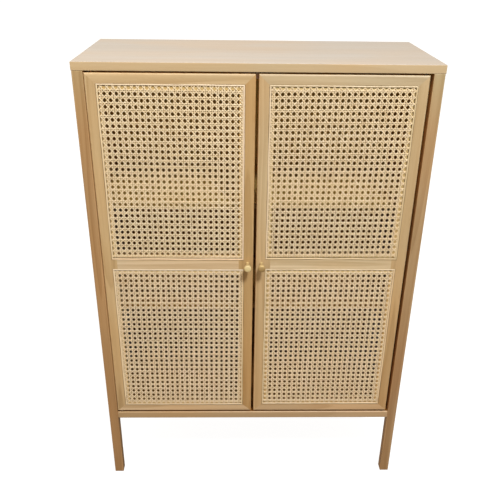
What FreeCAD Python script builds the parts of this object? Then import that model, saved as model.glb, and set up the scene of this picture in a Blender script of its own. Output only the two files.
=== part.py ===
import FreeCAD, Part
import Sketcher
import os

# Two-door cupboard on four square legs, with cane webbing in the doors.
# Millimetres. +Z up, -Y is the front. The origin is on the floor, below the
# middle of the whole, knobs included.

doc = FreeCAD.newDocument("cane_cupboard")
V = FreeCAD.Vector

# ---------------------------------------------------------------- dimensions
DIMENSIONS = [
    # overall
    ("total_height", 1150),
    ("board_width", 800),
    ("board_depth", 350),
    ("board_front_y", -159),    # front edge of the top board
    ("board_thick", 18),
    ("board_ease", 0.8),
    # legs
    ("leg_size", 24),
    ("leg_span", 798),          # over the outer faces
    ("front_overhang", 0.5),      # board in front of the legs
    ("leg_ease", 1),
    ("glide_thick", 0.6),
    ("glide_radius", 8),
    ("glide_nail_radius", 1.2),
    ("glide_nail_length", 15),
    # carcass boards
    ("side_thick", 16),
    ("bottom_thick", 21),
    ("bottom_top_z", 218.6),
    ("bottom_ease", 2),
    ("back_thick", 5),
    ("back_y", 176),            # front face of the back panel
    ("back_tongue", 5.5),       # how far it enters the legs
    ("back_groove_depth", 5.8),
    ("back_groove_play", 0.1),
    # shelves
    ("shelf_thick", 15),
    ("shelf_front_y", -114),
    ("shelf_back_y", 174),
    ("shelf_side_gap", 1),
    ("shelf_ease", 1.5),
    ("shelf_upper_z", 803.4),
    ("shelf_lower_z", 525.7),
    ("pin_radius", 2.5),
    ("pin_hole_radius", 2.55),
    ("pin_in", 9.5),
    ("pin_hole_depth", 10),
    ("pin_out", 8),
    ("pin_row_front_y", -79),
    ("pin_row_back_y", 136),
    # dowels
    ("dowel_big_radius", 4),
    ("dowel_small_radius", 3),
    ("dowel_play", 0.05),
    ("top_dowel_up", 12),
    ("top_dowel_down", 18),
    ("side_dowel_leg", 11),
    ("side_dowel_panel", 18),
    ("bottom_dowel_side", 11),
    ("bottom_dowel_board", 20),
    ("dowel_end_play", 0.5),
    ("mitre_dowel_half", 9),    # half its length
    ("mitre_dowel_y", 13.5),    # behind the door's front
    # back panel screws
    ("back_screw_shank", 1.5),
    ("back_screw_head", 3.5),
    ("back_screw_head_thick", 2),
    ("back_screw_length", 20),
    # doors
    ("door_width_left", 367.1),
    ("door_width_right", 368.5),
    ("door_height", 903.9),
    ("door_thick", 20),
    ("door_bottom_z", 223.8),
    ("door_recess", 0.5),         # front of the doors behind the front of the legs
    ("door_gap_left", 0.7),
    ("door_gap_right", 7.2),
    ("stile_width", 35.5),
    ("rail_top_height", 34.6),
    ("rail_mid_height", 49.9),
    ("rail_bottom_height_left", 31.2),
    ("rail_bottom_height_right", 33.5),
    ("rail_mid_z_left", 673.6),  # middle of the middle rail, a little lower in the left door
    ("rail_mid_z_right", 675.55),
    ("door_ease", 3),
    # cane and its spline
    ("spline_width", 5),
    ("spline_proud", 0.8),
    ("spline_ease", 1.5),
    ("groove_width", 6.2),
    ("groove_depth", 6),
    ("ledge", 6.5),
    ("cane_thick", 1.5),
    ("cane_lip_depth", 5),
    ("mitre_kerf", 0.1),
    # pivots
    ("pivot_from_edge", 10),
    ("pivot_from_front", 5.5),
    ("pivot_radius", 2.5),
    ("pivot_bore_radius", 2.55),
    ("pivot_hole_radius", 2.52),
    ("pivot_in_door", 28),
    ("pivot_up", 13.3),
    ("pivot_down", 13.7),
    ("bush_radius", 3.8),
    ("bush_length", 10),
    ("bush_play", 0.02),
    ("washer_radius", 4.2),
    ("washer_bore_radius", 2.7),
    ("washer_thick", 4.9),
    # knobs
    ("knob_z", 677.7),
    ("knob_from_edge", 13.7),
    ("knob_screw_radius", 2),
    ("knob_hole_radius", 2.1),
    ("knob_screw_head", 4),
    ("knob_screw_head_thick", 2),
    ("knob_screw_length", 30),  # head and shank, 8 into the knob
    ("knob_thread_radius", 2.02),
    ("knob_bore_depth", 9),
    ("knob_foot_radius", 4.2),
    ("knob_neck_radius", 3.1),
    ("knob_head_radius", 8.7),
    ("knob_length", 33),
    # catch
    ("catch_length", 60),
    ("catch_height", 18),
    ("catch_depth", 18),
    ("catch_gap", 1.8),         # housing behind the door's back
    ("magnet_radius", 4),
    ("magnet_length", 8),
    ("magnet_proud", 0.3),
    ("magnet_spread", 18),
    ("magnet_drop", 11.5),      # below the top board
    ("catch_screw_spread", 6),
    ("catch_screw_back", 11),
    ("catch_screw_shank", 1.5),
    ("catch_screw_head", 3),
    ("catch_screw_head_thick", 2),
    ("catch_screw_bite", 10),
    ("strike_width", 16),
    ("strike_height", 24),
    ("strike_thick", 1.2),
    ("strike_screw_shank", 1.4),
    ("strike_screw_head", 2.8),
    ("strike_screw_head_thick", 0.2),
    ("strike_screw_length", 12),
]
sheet = doc.addObject("Spreadsheet::Sheet", "dims")
size = {}
for row, (alias, value) in enumerate(DIMENSIONS, start=1):
    sheet.set("A%d" % row, alias.replace("_", " "))
    sheet.set("B%d" % row, str(value))
    sheet.setAlias("B%d" % row, alias)
    size[alias] = float(value)
doc.recompute()


def bound(text):
    """An expression with the sheet's name in front of each of its aliases."""
    out, word = "", ""
    for ch in str(text) + " ":
        if ch.isalnum() or ch in "_.":
            word += ch
            continue
        out += ("dims." + word) if word in size else word
        out += ch
        word = ""
    return out.strip()


def place(obj, x, y, z):
    for axis, text in zip("xyz", (x, y, z)):
        obj.setExpression(".Placement.Base." + axis, bound(text))


def box(name, length, width, height, x, y, z):
    b = doc.addObject("Part::Box", name)
    for prop, text in (("Length", length), ("Width", width), ("Height", height)):
        b.setExpression(prop, bound(text))
    place(b, x, y, z)
    return b


TURN = {
    "z": FreeCAD.Rotation(),
    "-z": FreeCAD.Rotation(V(1, 0, 0), 180),
    "x": FreeCAD.Rotation(V(0, 1, 0), 90),
    "-x": FreeCAD.Rotation(V(0, 1, 0), -90),
    "y": FreeCAD.Rotation(V(1, 0, 0), -90),
    "-y": FreeCAD.Rotation(V(1, 0, 0), 90),
}


def cylinder(name, radius, height, x, y, z, way="z"):
    """A cylinder whose base circle is centred on x, y, z and which runs along way."""
    c = doc.addObject("Part::Cylinder", name)
    c.setExpression("Radius", bound(radius))
    c.setExpression("Height", bound(height))
    c.Placement = FreeCAD.Placement(V(0, 0, 0), TURN[way])
    place(c, x, y, z)
    return c


def slanted(name, radius, height, x, y, z, angle):
    """A cylinder that leans from +Z towards +X by angle."""
    c = cylinder(name, radius, height, x, y, z)
    c.Placement = FreeCAD.Placement(V(0, 0, 0), FreeCAD.Rotation(V(0, 1, 0), angle))
    place(c, x, y, z)
    return c


LEAN = {
    "x": FreeCAD.Rotation(V(0, 0, 1), -90),
    "-x": FreeCAD.Rotation(V(0, 0, 1), 90),
    "z": FreeCAD.Rotation(V(1, 0, 0), 90),
    "-z": FreeCAD.Rotation(V(1, 0, 0), -90),
}


def mitred(name, long, first, last, wide, thick, x, y, z, way):
    """A board cut to a mitre at both ends. Its outer side is long; the inner side, wide away
    from it along way, begins first later and ends last sooner."""
    w = doc.addObject("Part::Wedge", name)
    along, through = ("Z", "X") if "x" in way else ("X", "Z")
    for prop, text in (("Ymin", 0), ("Ymax", wide), (along + "min", 0), (along + "max", long),
                       (along + "2min", first), (along + "2max", "%s - %s" % (long, last)),
                       (through + "min", 0), (through + "max", thick), (through + "2min", 0), (through + "2max", thick)):
        w.setExpression(prop, bound(text))
    w.Placement = FreeCAD.Placement(V(0, 0, 0), LEAN[way])
    place(w, x, y, z)
    return w


def joined(name, pieces):
    f = doc.addObject("Part::MultiFuse", name)
    f.Shapes = pieces
    return f


def cut(name, base, tools):
    tool = tools[0] if len(tools) == 1 else joined(name + "_tools", tools)
    c = doc.addObject("Part::Cut", name)
    c.Base, c.Tool = base, tool
    return c


def group(name, pieces):
    g = doc.addObject("Part::Compound", name)
    g.Links = pieces
    return g


def eased(name, base, radius, wanted):
    """Rounds the edges of base for which wanted(first point, last point) is true."""
    doc.recompute()
    f = doc.addObject("Part::Fillet", name)
    f.Base = base
    picked = []
    for i, edge in enumerate(base.Shape.Edges, start=1):
        a, b = edge.Vertexes[0].Point, edge.Vertexes[-1].Point
        if wanted(a, b):
            picked.append((i, radius, radius))
    if not picked:
        raise RuntimeError(name + ": no edge to round")
    f.Edges = picked
    return f


def near(a, b, tol=0.01):
    return abs(a - b) < tol


NODES = []


def node(obj, label):
    obj.Label = label
    NODES.append((label, obj))
    return obj


def origin_plane(body, role):
    return next(f for f in body.Origin.OriginFeatures if f.Role == role)


def outline(sketch, points):
    """A closed loop of lines through points (radius, distance), joined end to end.
    A number fixes a coordinate, and an alias binds it to that cell."""
    value = lambda v: size[v] if isinstance(v, str) else float(v)
    n = len(points)
    made = []
    for i in range(n):
        (ar, ad), (br, bd) = points[i], points[(i + 1) % n]
        made.append(sketch.addGeometry(Part.LineSegment(
            V(value(ar), value(ad), 0), V(value(br), value(bd), 0)), False))
    for i in range(n):
        sketch.addConstraint(Sketcher.Constraint(
            "Coincident", made[i], 2, made[(i + 1) % n], 1))
    for i, (r, d) in enumerate(points):
        for kind, axis, v in (("DistanceX", -2, r), ("DistanceY", -1, d)):
            if value(v) == 0:
                sketch.addConstraint(Sketcher.Constraint("PointOnObject", made[i], 1, axis))
                continue
            c = sketch.addConstraint(Sketcher.Constraint(kind, -1, 1, made[i], 1, value(v)))
            if isinstance(v, str):
                sketch.setExpression("Constraints[%d]" % c, "dims." + v)


# handy expressions
INNER = "(leg_span / 2 - leg_size)"             # half the clear width
LEG_X = "(leg_span / 2 - leg_size / 2)"         # leg centre line
LEG_FRONT = "(board_front_y + front_overhang)"
LEG_FRONT_BACK = "(board_front_y + front_overhang + leg_size)"
LEG_REAR_FRONT = "(board_front_y + board_depth - leg_size)"
UNDER = "(total_height - board_thick)"
BOTTOM_Z = "(bottom_top_z - bottom_thick)"
SIDE_X = "(leg_span / 2 - leg_size + side_thick / 2)"
SIDE_DOWEL_X = "(leg_span / 2 - leg_size + 10)"
DOOR_FRONT = "(board_front_y + front_overhang + door_recess)"
DOOR_BACK = "(board_front_y + front_overhang + door_recess + door_thick)"
DOOR_TOP = "(door_bottom_z + door_height)"
LEFT_X = "(-leg_span / 2 + leg_size + door_gap_left)"
RIGHT_X = "(leg_span / 2 - leg_size - door_gap_right - door_width_right)"
MIDDLE_X = "((%s + door_width_left + %s) / 2)" % (LEFT_X, RIGHT_X)
PIVOT_Y = "(%s + pivot_from_front)" % DOOR_FRONT
PIVOT_LEFT_X = "(%s + pivot_from_edge)" % LEFT_X
PIVOT_RIGHT_X = "(%s + door_width_right - pivot_from_edge)" % RIGHT_X
CORNERS = [("front_left", -1, "front"), ("front_right", 1, "front"),
           ("rear_left", -1, "rear"), ("rear_right", 1, "rear")]
SIDES = [("left", -1), ("right", 1)]


def signed(sign, text):
    return text if sign > 0 else "-" + text


def leg_y(row):
    return "(%s + leg_size / 2)" % (LEG_FRONT if row == "front" else LEG_REAR_FRONT)


# ---------------------------------------------------------------- dowels
# Each list holds the dowel cylinders and, beside them, the slightly larger
# drillings that take them in the two boards they join.
top_dowels, top_up, leg_down = [], [], {}
for where, sign, row in CORNERS:
    x, y = signed(sign, LEG_X), leg_y(row)
    top_dowels.append(cylinder("top_dowel_" + where, "dowel_big_radius", "top_dowel_up + top_dowel_down", x, y, UNDER + " - top_dowel_down"))
    top_up.append(cylinder("top_drill_" + where, "dowel_big_radius + dowel_play", "top_dowel_up + dowel_end_play", x, y, UNDER))
    leg_down[where] = cylinder("leg_drill_" + where, "dowel_big_radius + dowel_play", "top_dowel_down + dowel_end_play", x, y, UNDER, "-z")
side_down = {"left": [], "right": []}
for side, sign in SIDES:
    for k, y in enumerate(("-59", "91")):
        x = signed(sign, SIDE_X)
        top_dowels.append(cylinder("top_dowel_%s_%d" % (side, k), "dowel_big_radius", "top_dowel_up + top_dowel_down", x, y, UNDER + " - top_dowel_down"))
        top_up.append(cylinder("top_drill_%s_%d" % (side, k), "dowel_big_radius + dowel_play", "top_dowel_up + dowel_end_play", x, y, UNDER))
        side_down[side].append(cylinder("side_top_drill_%s_%d" % (side, k), "dowel_big_radius + dowel_play", "top_dowel_down + dowel_end_play", x, y, UNDER, "-z"))
node(group("top_dowels_group", top_dowels), "top_dowels")

side_dowels, leg_in, side_ends = [], {w: [] for w, _, _ in CORNERS}, {"left": [], "right": []}
for where, sign, row in CORNERS:
    side = "left" if sign < 0 else "right"
    face, way, back = (LEG_FRONT_BACK, "-y", "y") if row == "front" else (LEG_REAR_FRONT, "y", "-y")
    start = face + (" + side_dowel_panel" if row == "front" else " - side_dowel_panel")
    for k, z in enumerate(("260", "665", "1070")):
        x = signed(sign, SIDE_DOWEL_X)
        tag = "%s_%d" % (where, k)
        side_dowels.append(cylinder("side_dowel_" + tag, "dowel_small_radius", "side_dowel_leg + side_dowel_panel", x, start, z, way))
        leg_in[where].append(cylinder("leg_side_drill_" + tag, "dowel_small_radius + dowel_play", "side_dowel_leg + dowel_end_play", x, face, z, way))
        side_ends[side].append(cylinder("panel_drill_" + tag, "dowel_small_radius + dowel_play", "side_dowel_panel + dowel_end_play", x, face, z, back))
node(group("side_panel_dowels_group", side_dowels), "side_panel_dowels")

bottom_dowels, bottom_in, side_in = [], [], {"left": [], "right": []}
for side, sign in SIDES:
    out, way = ("x", "-x") if sign > 0 else ("-x", "x")
    for k, y in enumerate(("-84", "16", "116")):
        z = "(bottom_top_z - bottom_thick / 2)"
        x = signed(sign, INNER)
        tag = "%s_%d" % (side, k)
        end = "%s %s bottom_dowel_board" % (x, "-" if sign > 0 else "+")
        bottom_dowels.append(cylinder("bottom_dowel_" + tag, "dowel_big_radius", "bottom_dowel_board + bottom_dowel_side", end, y, z, out))
        bottom_in.append(cylinder("bottom_drill_" + tag, "dowel_big_radius + dowel_play", "bottom_dowel_board + dowel_end_play", x, y, z, way))
        side_in[side].append(cylinder("side_bottom_drill_" + tag, "dowel_big_radius + dowel_play", "bottom_dowel_side + dowel_end_play", x, y, z, out))
node(group("bottom_panel_dowels_group", bottom_dowels), "bottom_panel_dowels")

# ---------------------------------------------------------------- shelf pins
pin_holes = {"left": [], "right": []}
for shelf in ("upper", "lower"):
    pins = []
    for side, sign in SIDES:
        out, way = ("x", "-x") if sign > 0 else ("-x", "x")
        for k, row in enumerate(("pin_row_front_y", "pin_row_back_y")):
            z = "(shelf_%s_z - pin_radius - 0.02)" % shelf
            tag = "%s_%s_%d" % (shelf, side, k)
            start = "%s %s pin_in" % (signed(sign, INNER), "+" if sign > 0 else "-")
            pins.append(cylinder("shelf_pin_" + tag, "pin_radius", "pin_in + pin_out", start, row, z, way))
            pin_holes[side].append(cylinder("pin_hole_" + tag, "pin_hole_radius", "pin_hole_depth", signed(sign, INNER), row, z, out))
    node(group("shelf_pins_%s_group" % shelf, pins), "shelf_pins_" + shelf)

# ---------------------------------------------------------------- pivot bushes and washers
bush_holes_top, bush_holes_bottom = [], []
bushes_top, bushes_bottom, washers = [], [], []
for side, x in (("left", PIVOT_LEFT_X), ("right", PIVOT_RIGHT_X)):
    bush_holes_top.append(cylinder("bush_seat_top_" + side, "bush_radius + bush_play", "bush_length + dowel_end_play", x, PIVOT_Y, UNDER))
    bush_holes_bottom.append(cylinder("bush_seat_bottom_" + side, "bush_radius + bush_play", "bush_length + dowel_end_play", x, PIVOT_Y, "bottom_top_z", "-z"))
    for level, z, kept, outer, bore, tall in (
            ("top", UNDER, bushes_top, "bush_radius", "pivot_bore_radius", "bush_length"),
            ("bottom", "bottom_top_z - bush_length", bushes_bottom, "bush_radius", "pivot_bore_radius", "bush_length"),
            ("washer", "bottom_top_z", washers, "washer_radius", "washer_bore_radius", "washer_thick")):
        tag = "%s_%s" % (level, side)
        kept.append(cut("ring_" + tag,
                        cylinder("ring_out_" + tag, outer, tall, x, PIVOT_Y, z),
                        [cylinder("ring_bore_" + tag, bore, tall + " + 2", x, PIVOT_Y, z + " - 1")]))
node(group("pivot_bushes_top_group", bushes_top), "pivot_bushes_top")
node(group("pivot_bushes_bottom_group", bushes_bottom), "pivot_bushes_bottom")
node(group("pivot_washers_group", washers), "pivot_washers")

# ---------------------------------------------------------------- screws of the back panel
back_screws, back_pilots, back_holes = [], [], []
for k, x in enumerate(("-300", "-150", "0", "150", "300")):
    z = "(bottom_top_z - bottom_thick / 2)"
    face = "back_y + back_thick"
    back_screws.append(joined("back_screw_%d" % k, [
        cylinder("back_screw_head_%d" % k, "back_screw_head", "back_screw_head_thick", x, face, z, "y"),
        cylinder("back_screw_shank_%d" % k, "back_screw_shank", "back_screw_length + 1", x, face + " + 1", z, "-y")]))
    back_pilots.append(cylinder("back_pilot_%d" % k, "back_screw_shank + 0.02", "back_screw_length - back_thick + 1", x, "back_y", z, "-y"))
    back_holes.append(cylinder("back_hole_%d" % k, "back_screw_shank + 0.2", "back_thick + 2", x, "back_y - 1", z, "y"))
node(group("back_panel_screws_group", back_screws), "back_panel_screws")

# ---------------------------------------------------------------- magnetic catch
# A plastic housing under the top board with one magnet facing each door.
CATCH_Y = "(%s + catch_gap)" % DOOR_BACK
MAGNET_Z = "(%s - magnet_drop)" % UNDER
magnets, pockets, catch_screws, catch_pilots = [], [], [], []
for side, sign in SIDES:
    x = "%s %s magnet_spread" % (MIDDLE_X, "+" if sign > 0 else "-")
    magnets.append(cylinder("magnet_" + side, "magnet_radius", "magnet_length", x, CATCH_Y + " - magnet_proud", MAGNET_Z, "y"))
    pockets.append(cylinder("magnet_pocket_" + side, "magnet_radius + 0.02", "magnet_length - magnet_proud", x, CATCH_Y, MAGNET_Z, "y"))
    sx = "%s %s catch_screw_spread" % (MIDDLE_X, "+" if sign > 0 else "-")
    sy = CATCH_Y + " + catch_screw_back"
    low = UNDER + " - catch_height"
    catch_screws.append(joined("catch_screw_" + side, [
        cylinder("catch_screw_head_" + side, "catch_screw_head", "catch_screw_head_thick", sx, sy, low, "-z"),
        cylinder("catch_screw_shank_" + side, "catch_screw_shank", "catch_height + catch_screw_bite + 1", sx, sy, low + " - 1")]))
    pockets.append(cylinder("catch_hole_" + side, "catch_screw_shank + 0.2", "catch_height + 2", sx, sy, low + " - 1"))
    catch_pilots.append(cylinder("catch_pilot_" + side, "catch_screw_shank + 0.02", "catch_screw_bite + dowel_end_play", sx, sy, UNDER))
node(group("catch_magnets_group", magnets), "catch_magnets")
node(group("catch_screws_group", catch_screws), "catch_screws")
catch_block = box("catch_block", "catch_length", "catch_depth", "catch_height",
                  MIDDLE_X + " - catch_length / 2", CATCH_Y, UNDER + " - catch_height")
node(cut("catch_housing_cut", catch_block, pockets), "catch_housing")

# ---------------------------------------------------------------- glides under the legs
glides, nail_holes = [], {}
for where, sign, row in CORNERS:
    x, y = signed(sign, LEG_X), leg_y(row)
    glides.append(joined("glide_" + where, [
        cylinder("glide_disc_" + where, "glide_radius", "glide_thick", x, y, "0"),
        cylinder("glide_nail_" + where, "glide_nail_radius", "glide_nail_length + 0.5", x, y, "glide_thick - 0.5")]))
    nail_holes[where] = cylinder("nail_hole_" + where, "glide_nail_radius + 0.02", "glide_nail_length + dowel_end_play", x, y, "glide_thick")
node(group("foot_glides_group", glides), "foot_glides")

# ---------------------------------------------------------------- carcass boards
top_block = box("top_block", "board_width", "board_depth", "board_thick",
                "-board_width / 2", "board_front_y", UNDER)
front_y = size["board_front_y"]
half_w, top_z = size["board_width"] / 2, size["total_height"]
under_z = top_z - size["board_thick"]
top_eased = eased("top_eased", top_block, size["board_ease"],
                  lambda a, b: (near(a.y, front_y) and near(b.y, front_y))
                  or (near(abs(a.x), half_w) and near(a.x, b.x) and near(a.z, b.z)))
node(cut("top_panel_cut", top_eased, top_up + bush_holes_top + catch_pilots), "top_panel")

for where, sign, row in CORNERS:
    x = signed(sign, LEG_X) + " - leg_size / 2"
    y = LEG_FRONT if row == "front" else LEG_REAR_FRONT
    block = box("leg_block_" + where, "leg_size", "leg_size", UNDER + " - glide_thick", x, y, "glide_thick")
    soft = eased("leg_eased_" + where, block, size["leg_ease"],
                 lambda a, b: near(a.x, b.x) and near(a.y, b.y))
    tools = [leg_down[where], nail_holes[where]] + leg_in[where]
    if row == "rear":
        # groove for the edge of the back panel
        gx = INNER + " - 1" if sign > 0 else "-%s - back_groove_depth" % INNER
        tools.append(box("back_groove_" + where, "back_groove_depth + 1", "back_thick + 2 * back_groove_play",
                         UNDER + " - %s + 1" % BOTTOM_Z, gx, "back_y - back_groove_play", BOTTOM_Z))
    node(cut("leg_cut_" + where, soft, tools), "leg_" + where)

for side, sign in SIDES:
    x = INNER if sign > 0 else "-%s - side_thick" % INNER
    block = box("side_block_" + side, "side_thick", "%s - %s" % (LEG_REAR_FRONT, LEG_FRONT_BACK),
                "%s - %s" % (UNDER, BOTTOM_Z), x, LEG_FRONT_BACK, BOTTOM_Z)
    node(cut("side_cut_" + side, block, side_down[side] + side_ends[side] + side_in[side] + pin_holes[side]),
         "side_panel_" + side)

bottom_block = box("bottom_block", "2 * %s" % INNER, "back_y - %s" % LEG_FRONT, "bottom_thick",
                   "-" + INNER, LEG_FRONT, BOTTOM_Z)
leg_front = size["board_front_y"] + size["front_overhang"]
bottom_eased = eased("bottom_eased", bottom_block, size["bottom_ease"],
                     lambda a, b: near(a.y, leg_front) and near(b.y, leg_front) and near(a.z, b.z))
node(cut("bottom_panel_cut", bottom_eased, bottom_in + bush_holes_bottom + back_pilots), "bottom_panel")

back_block = box("back_block", "2 * (%s + back_tongue)" % INNER, "back_thick", "%s - %s - 0.3" % (UNDER, BOTTOM_Z),
                 "-(%s + back_tongue)" % INNER, "back_y", BOTTOM_Z)
node(cut("back_panel_cut", back_block, back_holes), "back_panel")

for shelf in ("upper", "lower"):
    z = "shelf_%s_z" % shelf
    block = box("shelf_block_" + shelf, "2 * (%s - shelf_side_gap)" % INNER, "shelf_back_y - shelf_front_y", "shelf_thick",
                "-(%s - shelf_side_gap)" % INNER, "shelf_front_y", z)
    node(eased("shelf_eased_" + shelf, block, size["shelf_ease"],
               lambda a, b: near(a.y, size["shelf_front_y"]) and near(b.y, size["shelf_front_y"]) and near(a.z, b.z)),
         "shelf_" + shelf)


# ---------------------------------------------------------------- turned pieces
def turned(name, profile, x, y, z):
    """A body turned from a profile of (radius, distance), pointing to the front."""
    body = doc.addObject("PartDesign::Body", name)
    sk = body.newObject("Sketcher::SketchObject", name + "_profile")
    sk.AttachmentSupport = [(origin_plane(body, "XY_Plane"), "")]
    sk.MapMode = "FlatFace"
    outline(sk, profile)
    turn = body.newObject("PartDesign::Revolution", name + "_turn")
    turn.Profile = sk
    turn.ReferenceAxis = (sk, ["V_Axis"])
    turn.Angle = 360
    body.Placement = FreeCAD.Placement(V(0, 0, 0), FreeCAD.Rotation(V(0, 0, 1), 180))
    place(body, x, y, z)
    return body


def knob(side, x):
    """Small turned knob, drilled from behind for its screw."""
    profile = [("knob_thread_radius", 0), ("knob_foot_radius", 0), ("knob_foot_radius", 0.9), (3.4, 1.8),
               ("knob_neck_radius", 3.5), ("knob_neck_radius", 7.0), (3.6, 9.0), (4.3, 11.0), (5.2, 14.0), (6.1, 17.0), (6.9, 20.0),
               (7.6, 23.0), (8.2, 26.0), (8.55, 28.0), ("knob_head_radius", 29.2), (8.5, 30.4), (7.9, 31.3), (6.9, 31.9),
               (5.3, 32.4), (3.2, 32.75), (0, "knob_length"), (0, "knob_bore_depth"), ("knob_thread_radius", "knob_bore_depth")]
    return node(turned("knob_body_" + side, profile, x, DOOR_FRONT, "knob_z"), "knob_" + side)


def knob_screw(side, x):
    """Machine screw from the back of the stile into the knob."""
    profile = [(0, 0), (2.6, 0), (3.6, 0.6), ("knob_screw_head", 1.3), ("knob_screw_head", "knob_screw_head_thick"),
               ("knob_screw_radius", "knob_screw_head_thick"), ("knob_screw_radius", "knob_screw_length"),
               (0, "knob_screw_length")]
    return node(turned("knob_screw_body_" + side, profile, x, DOOR_BACK + " + knob_screw_head_thick", "knob_z"),
                "knob_screw_" + side)


# ---------------------------------------------------------------- doors
def door(side, x0, hinge):
    """One framed door. hinge is -1 where the pivots are on its left edge and 1 on its right."""
    p = "door_%s_" % side
    front = DOOR_FRONT
    across = "door_width_" + side
    mid = "rail_mid_z_" + side
    low = "rail_bottom_height_" + side
    right = "(%s + %s)" % (x0, across)
    inset = "(groove_width + ledge)"            # spline edge to the inner edge of the frame
    ox = "(%s + stile_width - %s)" % (x0, inset)
    ow = "(%s - 2 * stile_width + 2 * %s)" % (across, inset)
    levels = {
        "upper": ("(%s + rail_mid_height / 2 - %s)" % (mid, inset),
                  "(%s - rail_top_height - %s - rail_mid_height / 2 + 2 * %s)" % (DOOR_TOP, mid, inset)),
        "lower": ("(door_bottom_z + %s - %s)" % (low, inset),
                  "(%s - rail_mid_height / 2 - door_bottom_z - %s + 2 * %s)" % (mid, low, inset)),
    }
    grooves = []
    for level, (oz, oh) in levels.items():
        t = p + level
        # groove for the spline, and the shallow rebate the cane lies in
        outer = box(t + "_groove_out", ow, "groove_depth + 5", oh, ox, front + " - 5", oz)
        inner = box(t + "_groove_in", ow + " - 2 * groove_width", "groove_depth + 7", oh + " - 2 * groove_width",
                    ox + " + groove_width", front + " - 6", oz + " + groove_width")
        grooves.append(cut(t + "_groove", outer, [inner]))
        grooves.append(box(t + "_rebate", ow + " - 2 * groove_width", "cane_thick + 5", oh + " - 2 * groove_width",
                           ox + " + groove_width", front + " - 5", oz + " + groove_width"))
        # cane sheet, with its edge turned down into the groove
        sheet_plate = box(t + "_sheet", ow + " - 2 * spline_width", "cane_thick", oh + " - 2 * spline_width",
                          ox + " + spline_width", front, oz + " + spline_width")
        lip_out = box(t + "_lip_out", ow + " - 2 * spline_width", "cane_lip_depth - cane_thick / 2", oh + " - 2 * spline_width",
                      ox + " + spline_width", front + " + cane_thick / 2", oz + " + spline_width")
        lip_in = box(t + "_lip_in", ow + " - 2 * groove_width", "cane_lip_depth + 2", oh + " - 2 * groove_width",
                     ox + " + groove_width", front, oz + " + groove_width")
        node(joined(t + "_cane", [sheet_plate, cut(t + "_lip", lip_out, [lip_in])]), p + "cane_" + level)
        # spline: a ring with eased edges, mitred into four strips
        ring_out = box(t + "_ring_out", ow, "groove_depth + spline_proud", oh, ox, front + " - spline_proud", oz)
        ring_in = box(t + "_ring_in", ow + " - 2 * spline_width", "groove_depth + spline_proud + 2", oh + " - 2 * spline_width",
                      ox + " + spline_width", front + " - spline_proud - 1", oz + " + spline_width")
        ring = cut(t + "_ring", ring_out, [ring_in])
        face_y = size["board_front_y"] + size["front_overhang"] + size["door_recess"] - size["spline_proud"]
        soft = eased(t + "_ring_eased", ring, size["spline_ease"],
                     lambda a, b: near(a.y, face_y) and near(b.y, face_y))
        kerfs = []
        for k, (cx, cz, angle) in enumerate((
                (ox, oz, -45), ("%s + %s" % (ox, ow), oz, -135),
                (ox, "%s + %s" % (oz, oh), 45), ("%s + %s" % (ox, ow), "%s + %s" % (oz, oh), 135))):
            kerf = doc.addObject("Part::Box", "%s_kerf_%d" % (t, k))
            kerf.Length, kerf.Width = 20, 20
            kerf.setExpression("Height", "dims.mitre_kerf")
            turn = FreeCAD.Rotation(V(0, 1, 0), angle)
            kerf.Placement = FreeCAD.Placement(V(0, 0, 0), turn)
            shift = turn.multVec(V(-6, 0, -size["mitre_kerf"] / 2))
            place(kerf, "%s + (%.6f)" % (cx, shift.x), front + " - 8", "%s + (%.6f)" % (cz, shift.z))
            kerfs.append(kerf)
        node(cut(t + "_splines", soft, kerfs), p + "splines_" + level)

    # dowels at the ends of the middle rail and across the mitres, with their drillings
    dowels, drills = [], []
    y = "(%s + door_thick / 2)" % front
    for end, jx, way in (("a", "(%s + stile_width)" % x0, "x"), ("b", "(%s - stile_width)" % right, "-x")):
        for k, pm in enumerate(("-", "+")):
            z = "%s %s 15" % (mid, pm)
            tag = "%smid_%s_%d" % (p, end, k)
            start = "%s %s side_dowel_panel" % (jx, "-" if way == "x" else "+")
            dowels.append(cylinder(tag + "_dowel", "dowel_small_radius", "2 * side_dowel_panel", start, y, z, way))
            start = "%s %s (side_dowel_panel + dowel_end_play)" % (jx, "-" if way == "x" else "+")
            drills.append(cylinder(tag + "_drill", "dowel_small_radius + dowel_play", "2 * side_dowel_panel + 2 * dowel_end_play", start, y, z, way))
    y = "(%s + mitre_dowel_y)" % front
    for rail, cz, into_z, wide in (("top", DOOR_TOP, "-", "rail_top_height"), ("bottom", "door_bottom_z", "+", low)):
        for end, cx, into_x in (("a", x0, "+"), ("b", right, "-")):
            angle = (45 if rail == "top" else 135) * (1 if end == "a" else -1)
            for k, part_way in enumerate(("0.34", "0.70")):
                tag = "%s%s_%s_%d" % (p, rail, end, k)
                for kind, radius, half, kept in (("_dowel", "dowel_small_radius", "mitre_dowel_half", dowels),
                                                 ("_drill", "dowel_small_radius + dowel_play", "(mitre_dowel_half + dowel_end_play)", drills)):
                    x = "%s %s (%s * stile_width - %s * 0.70710678)" % (cx, into_x, part_way, half)
                    z = "%s %s (%s * %s + %s * 0.70710678)" % (cz, into_z, part_way, wide, half)
                    kept.append(slanted(tag + kind, radius, "2 * " + half, x, y, z, angle))
    node(group(p + "dowel_group", dowels), p + "frame_dowels")

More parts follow.
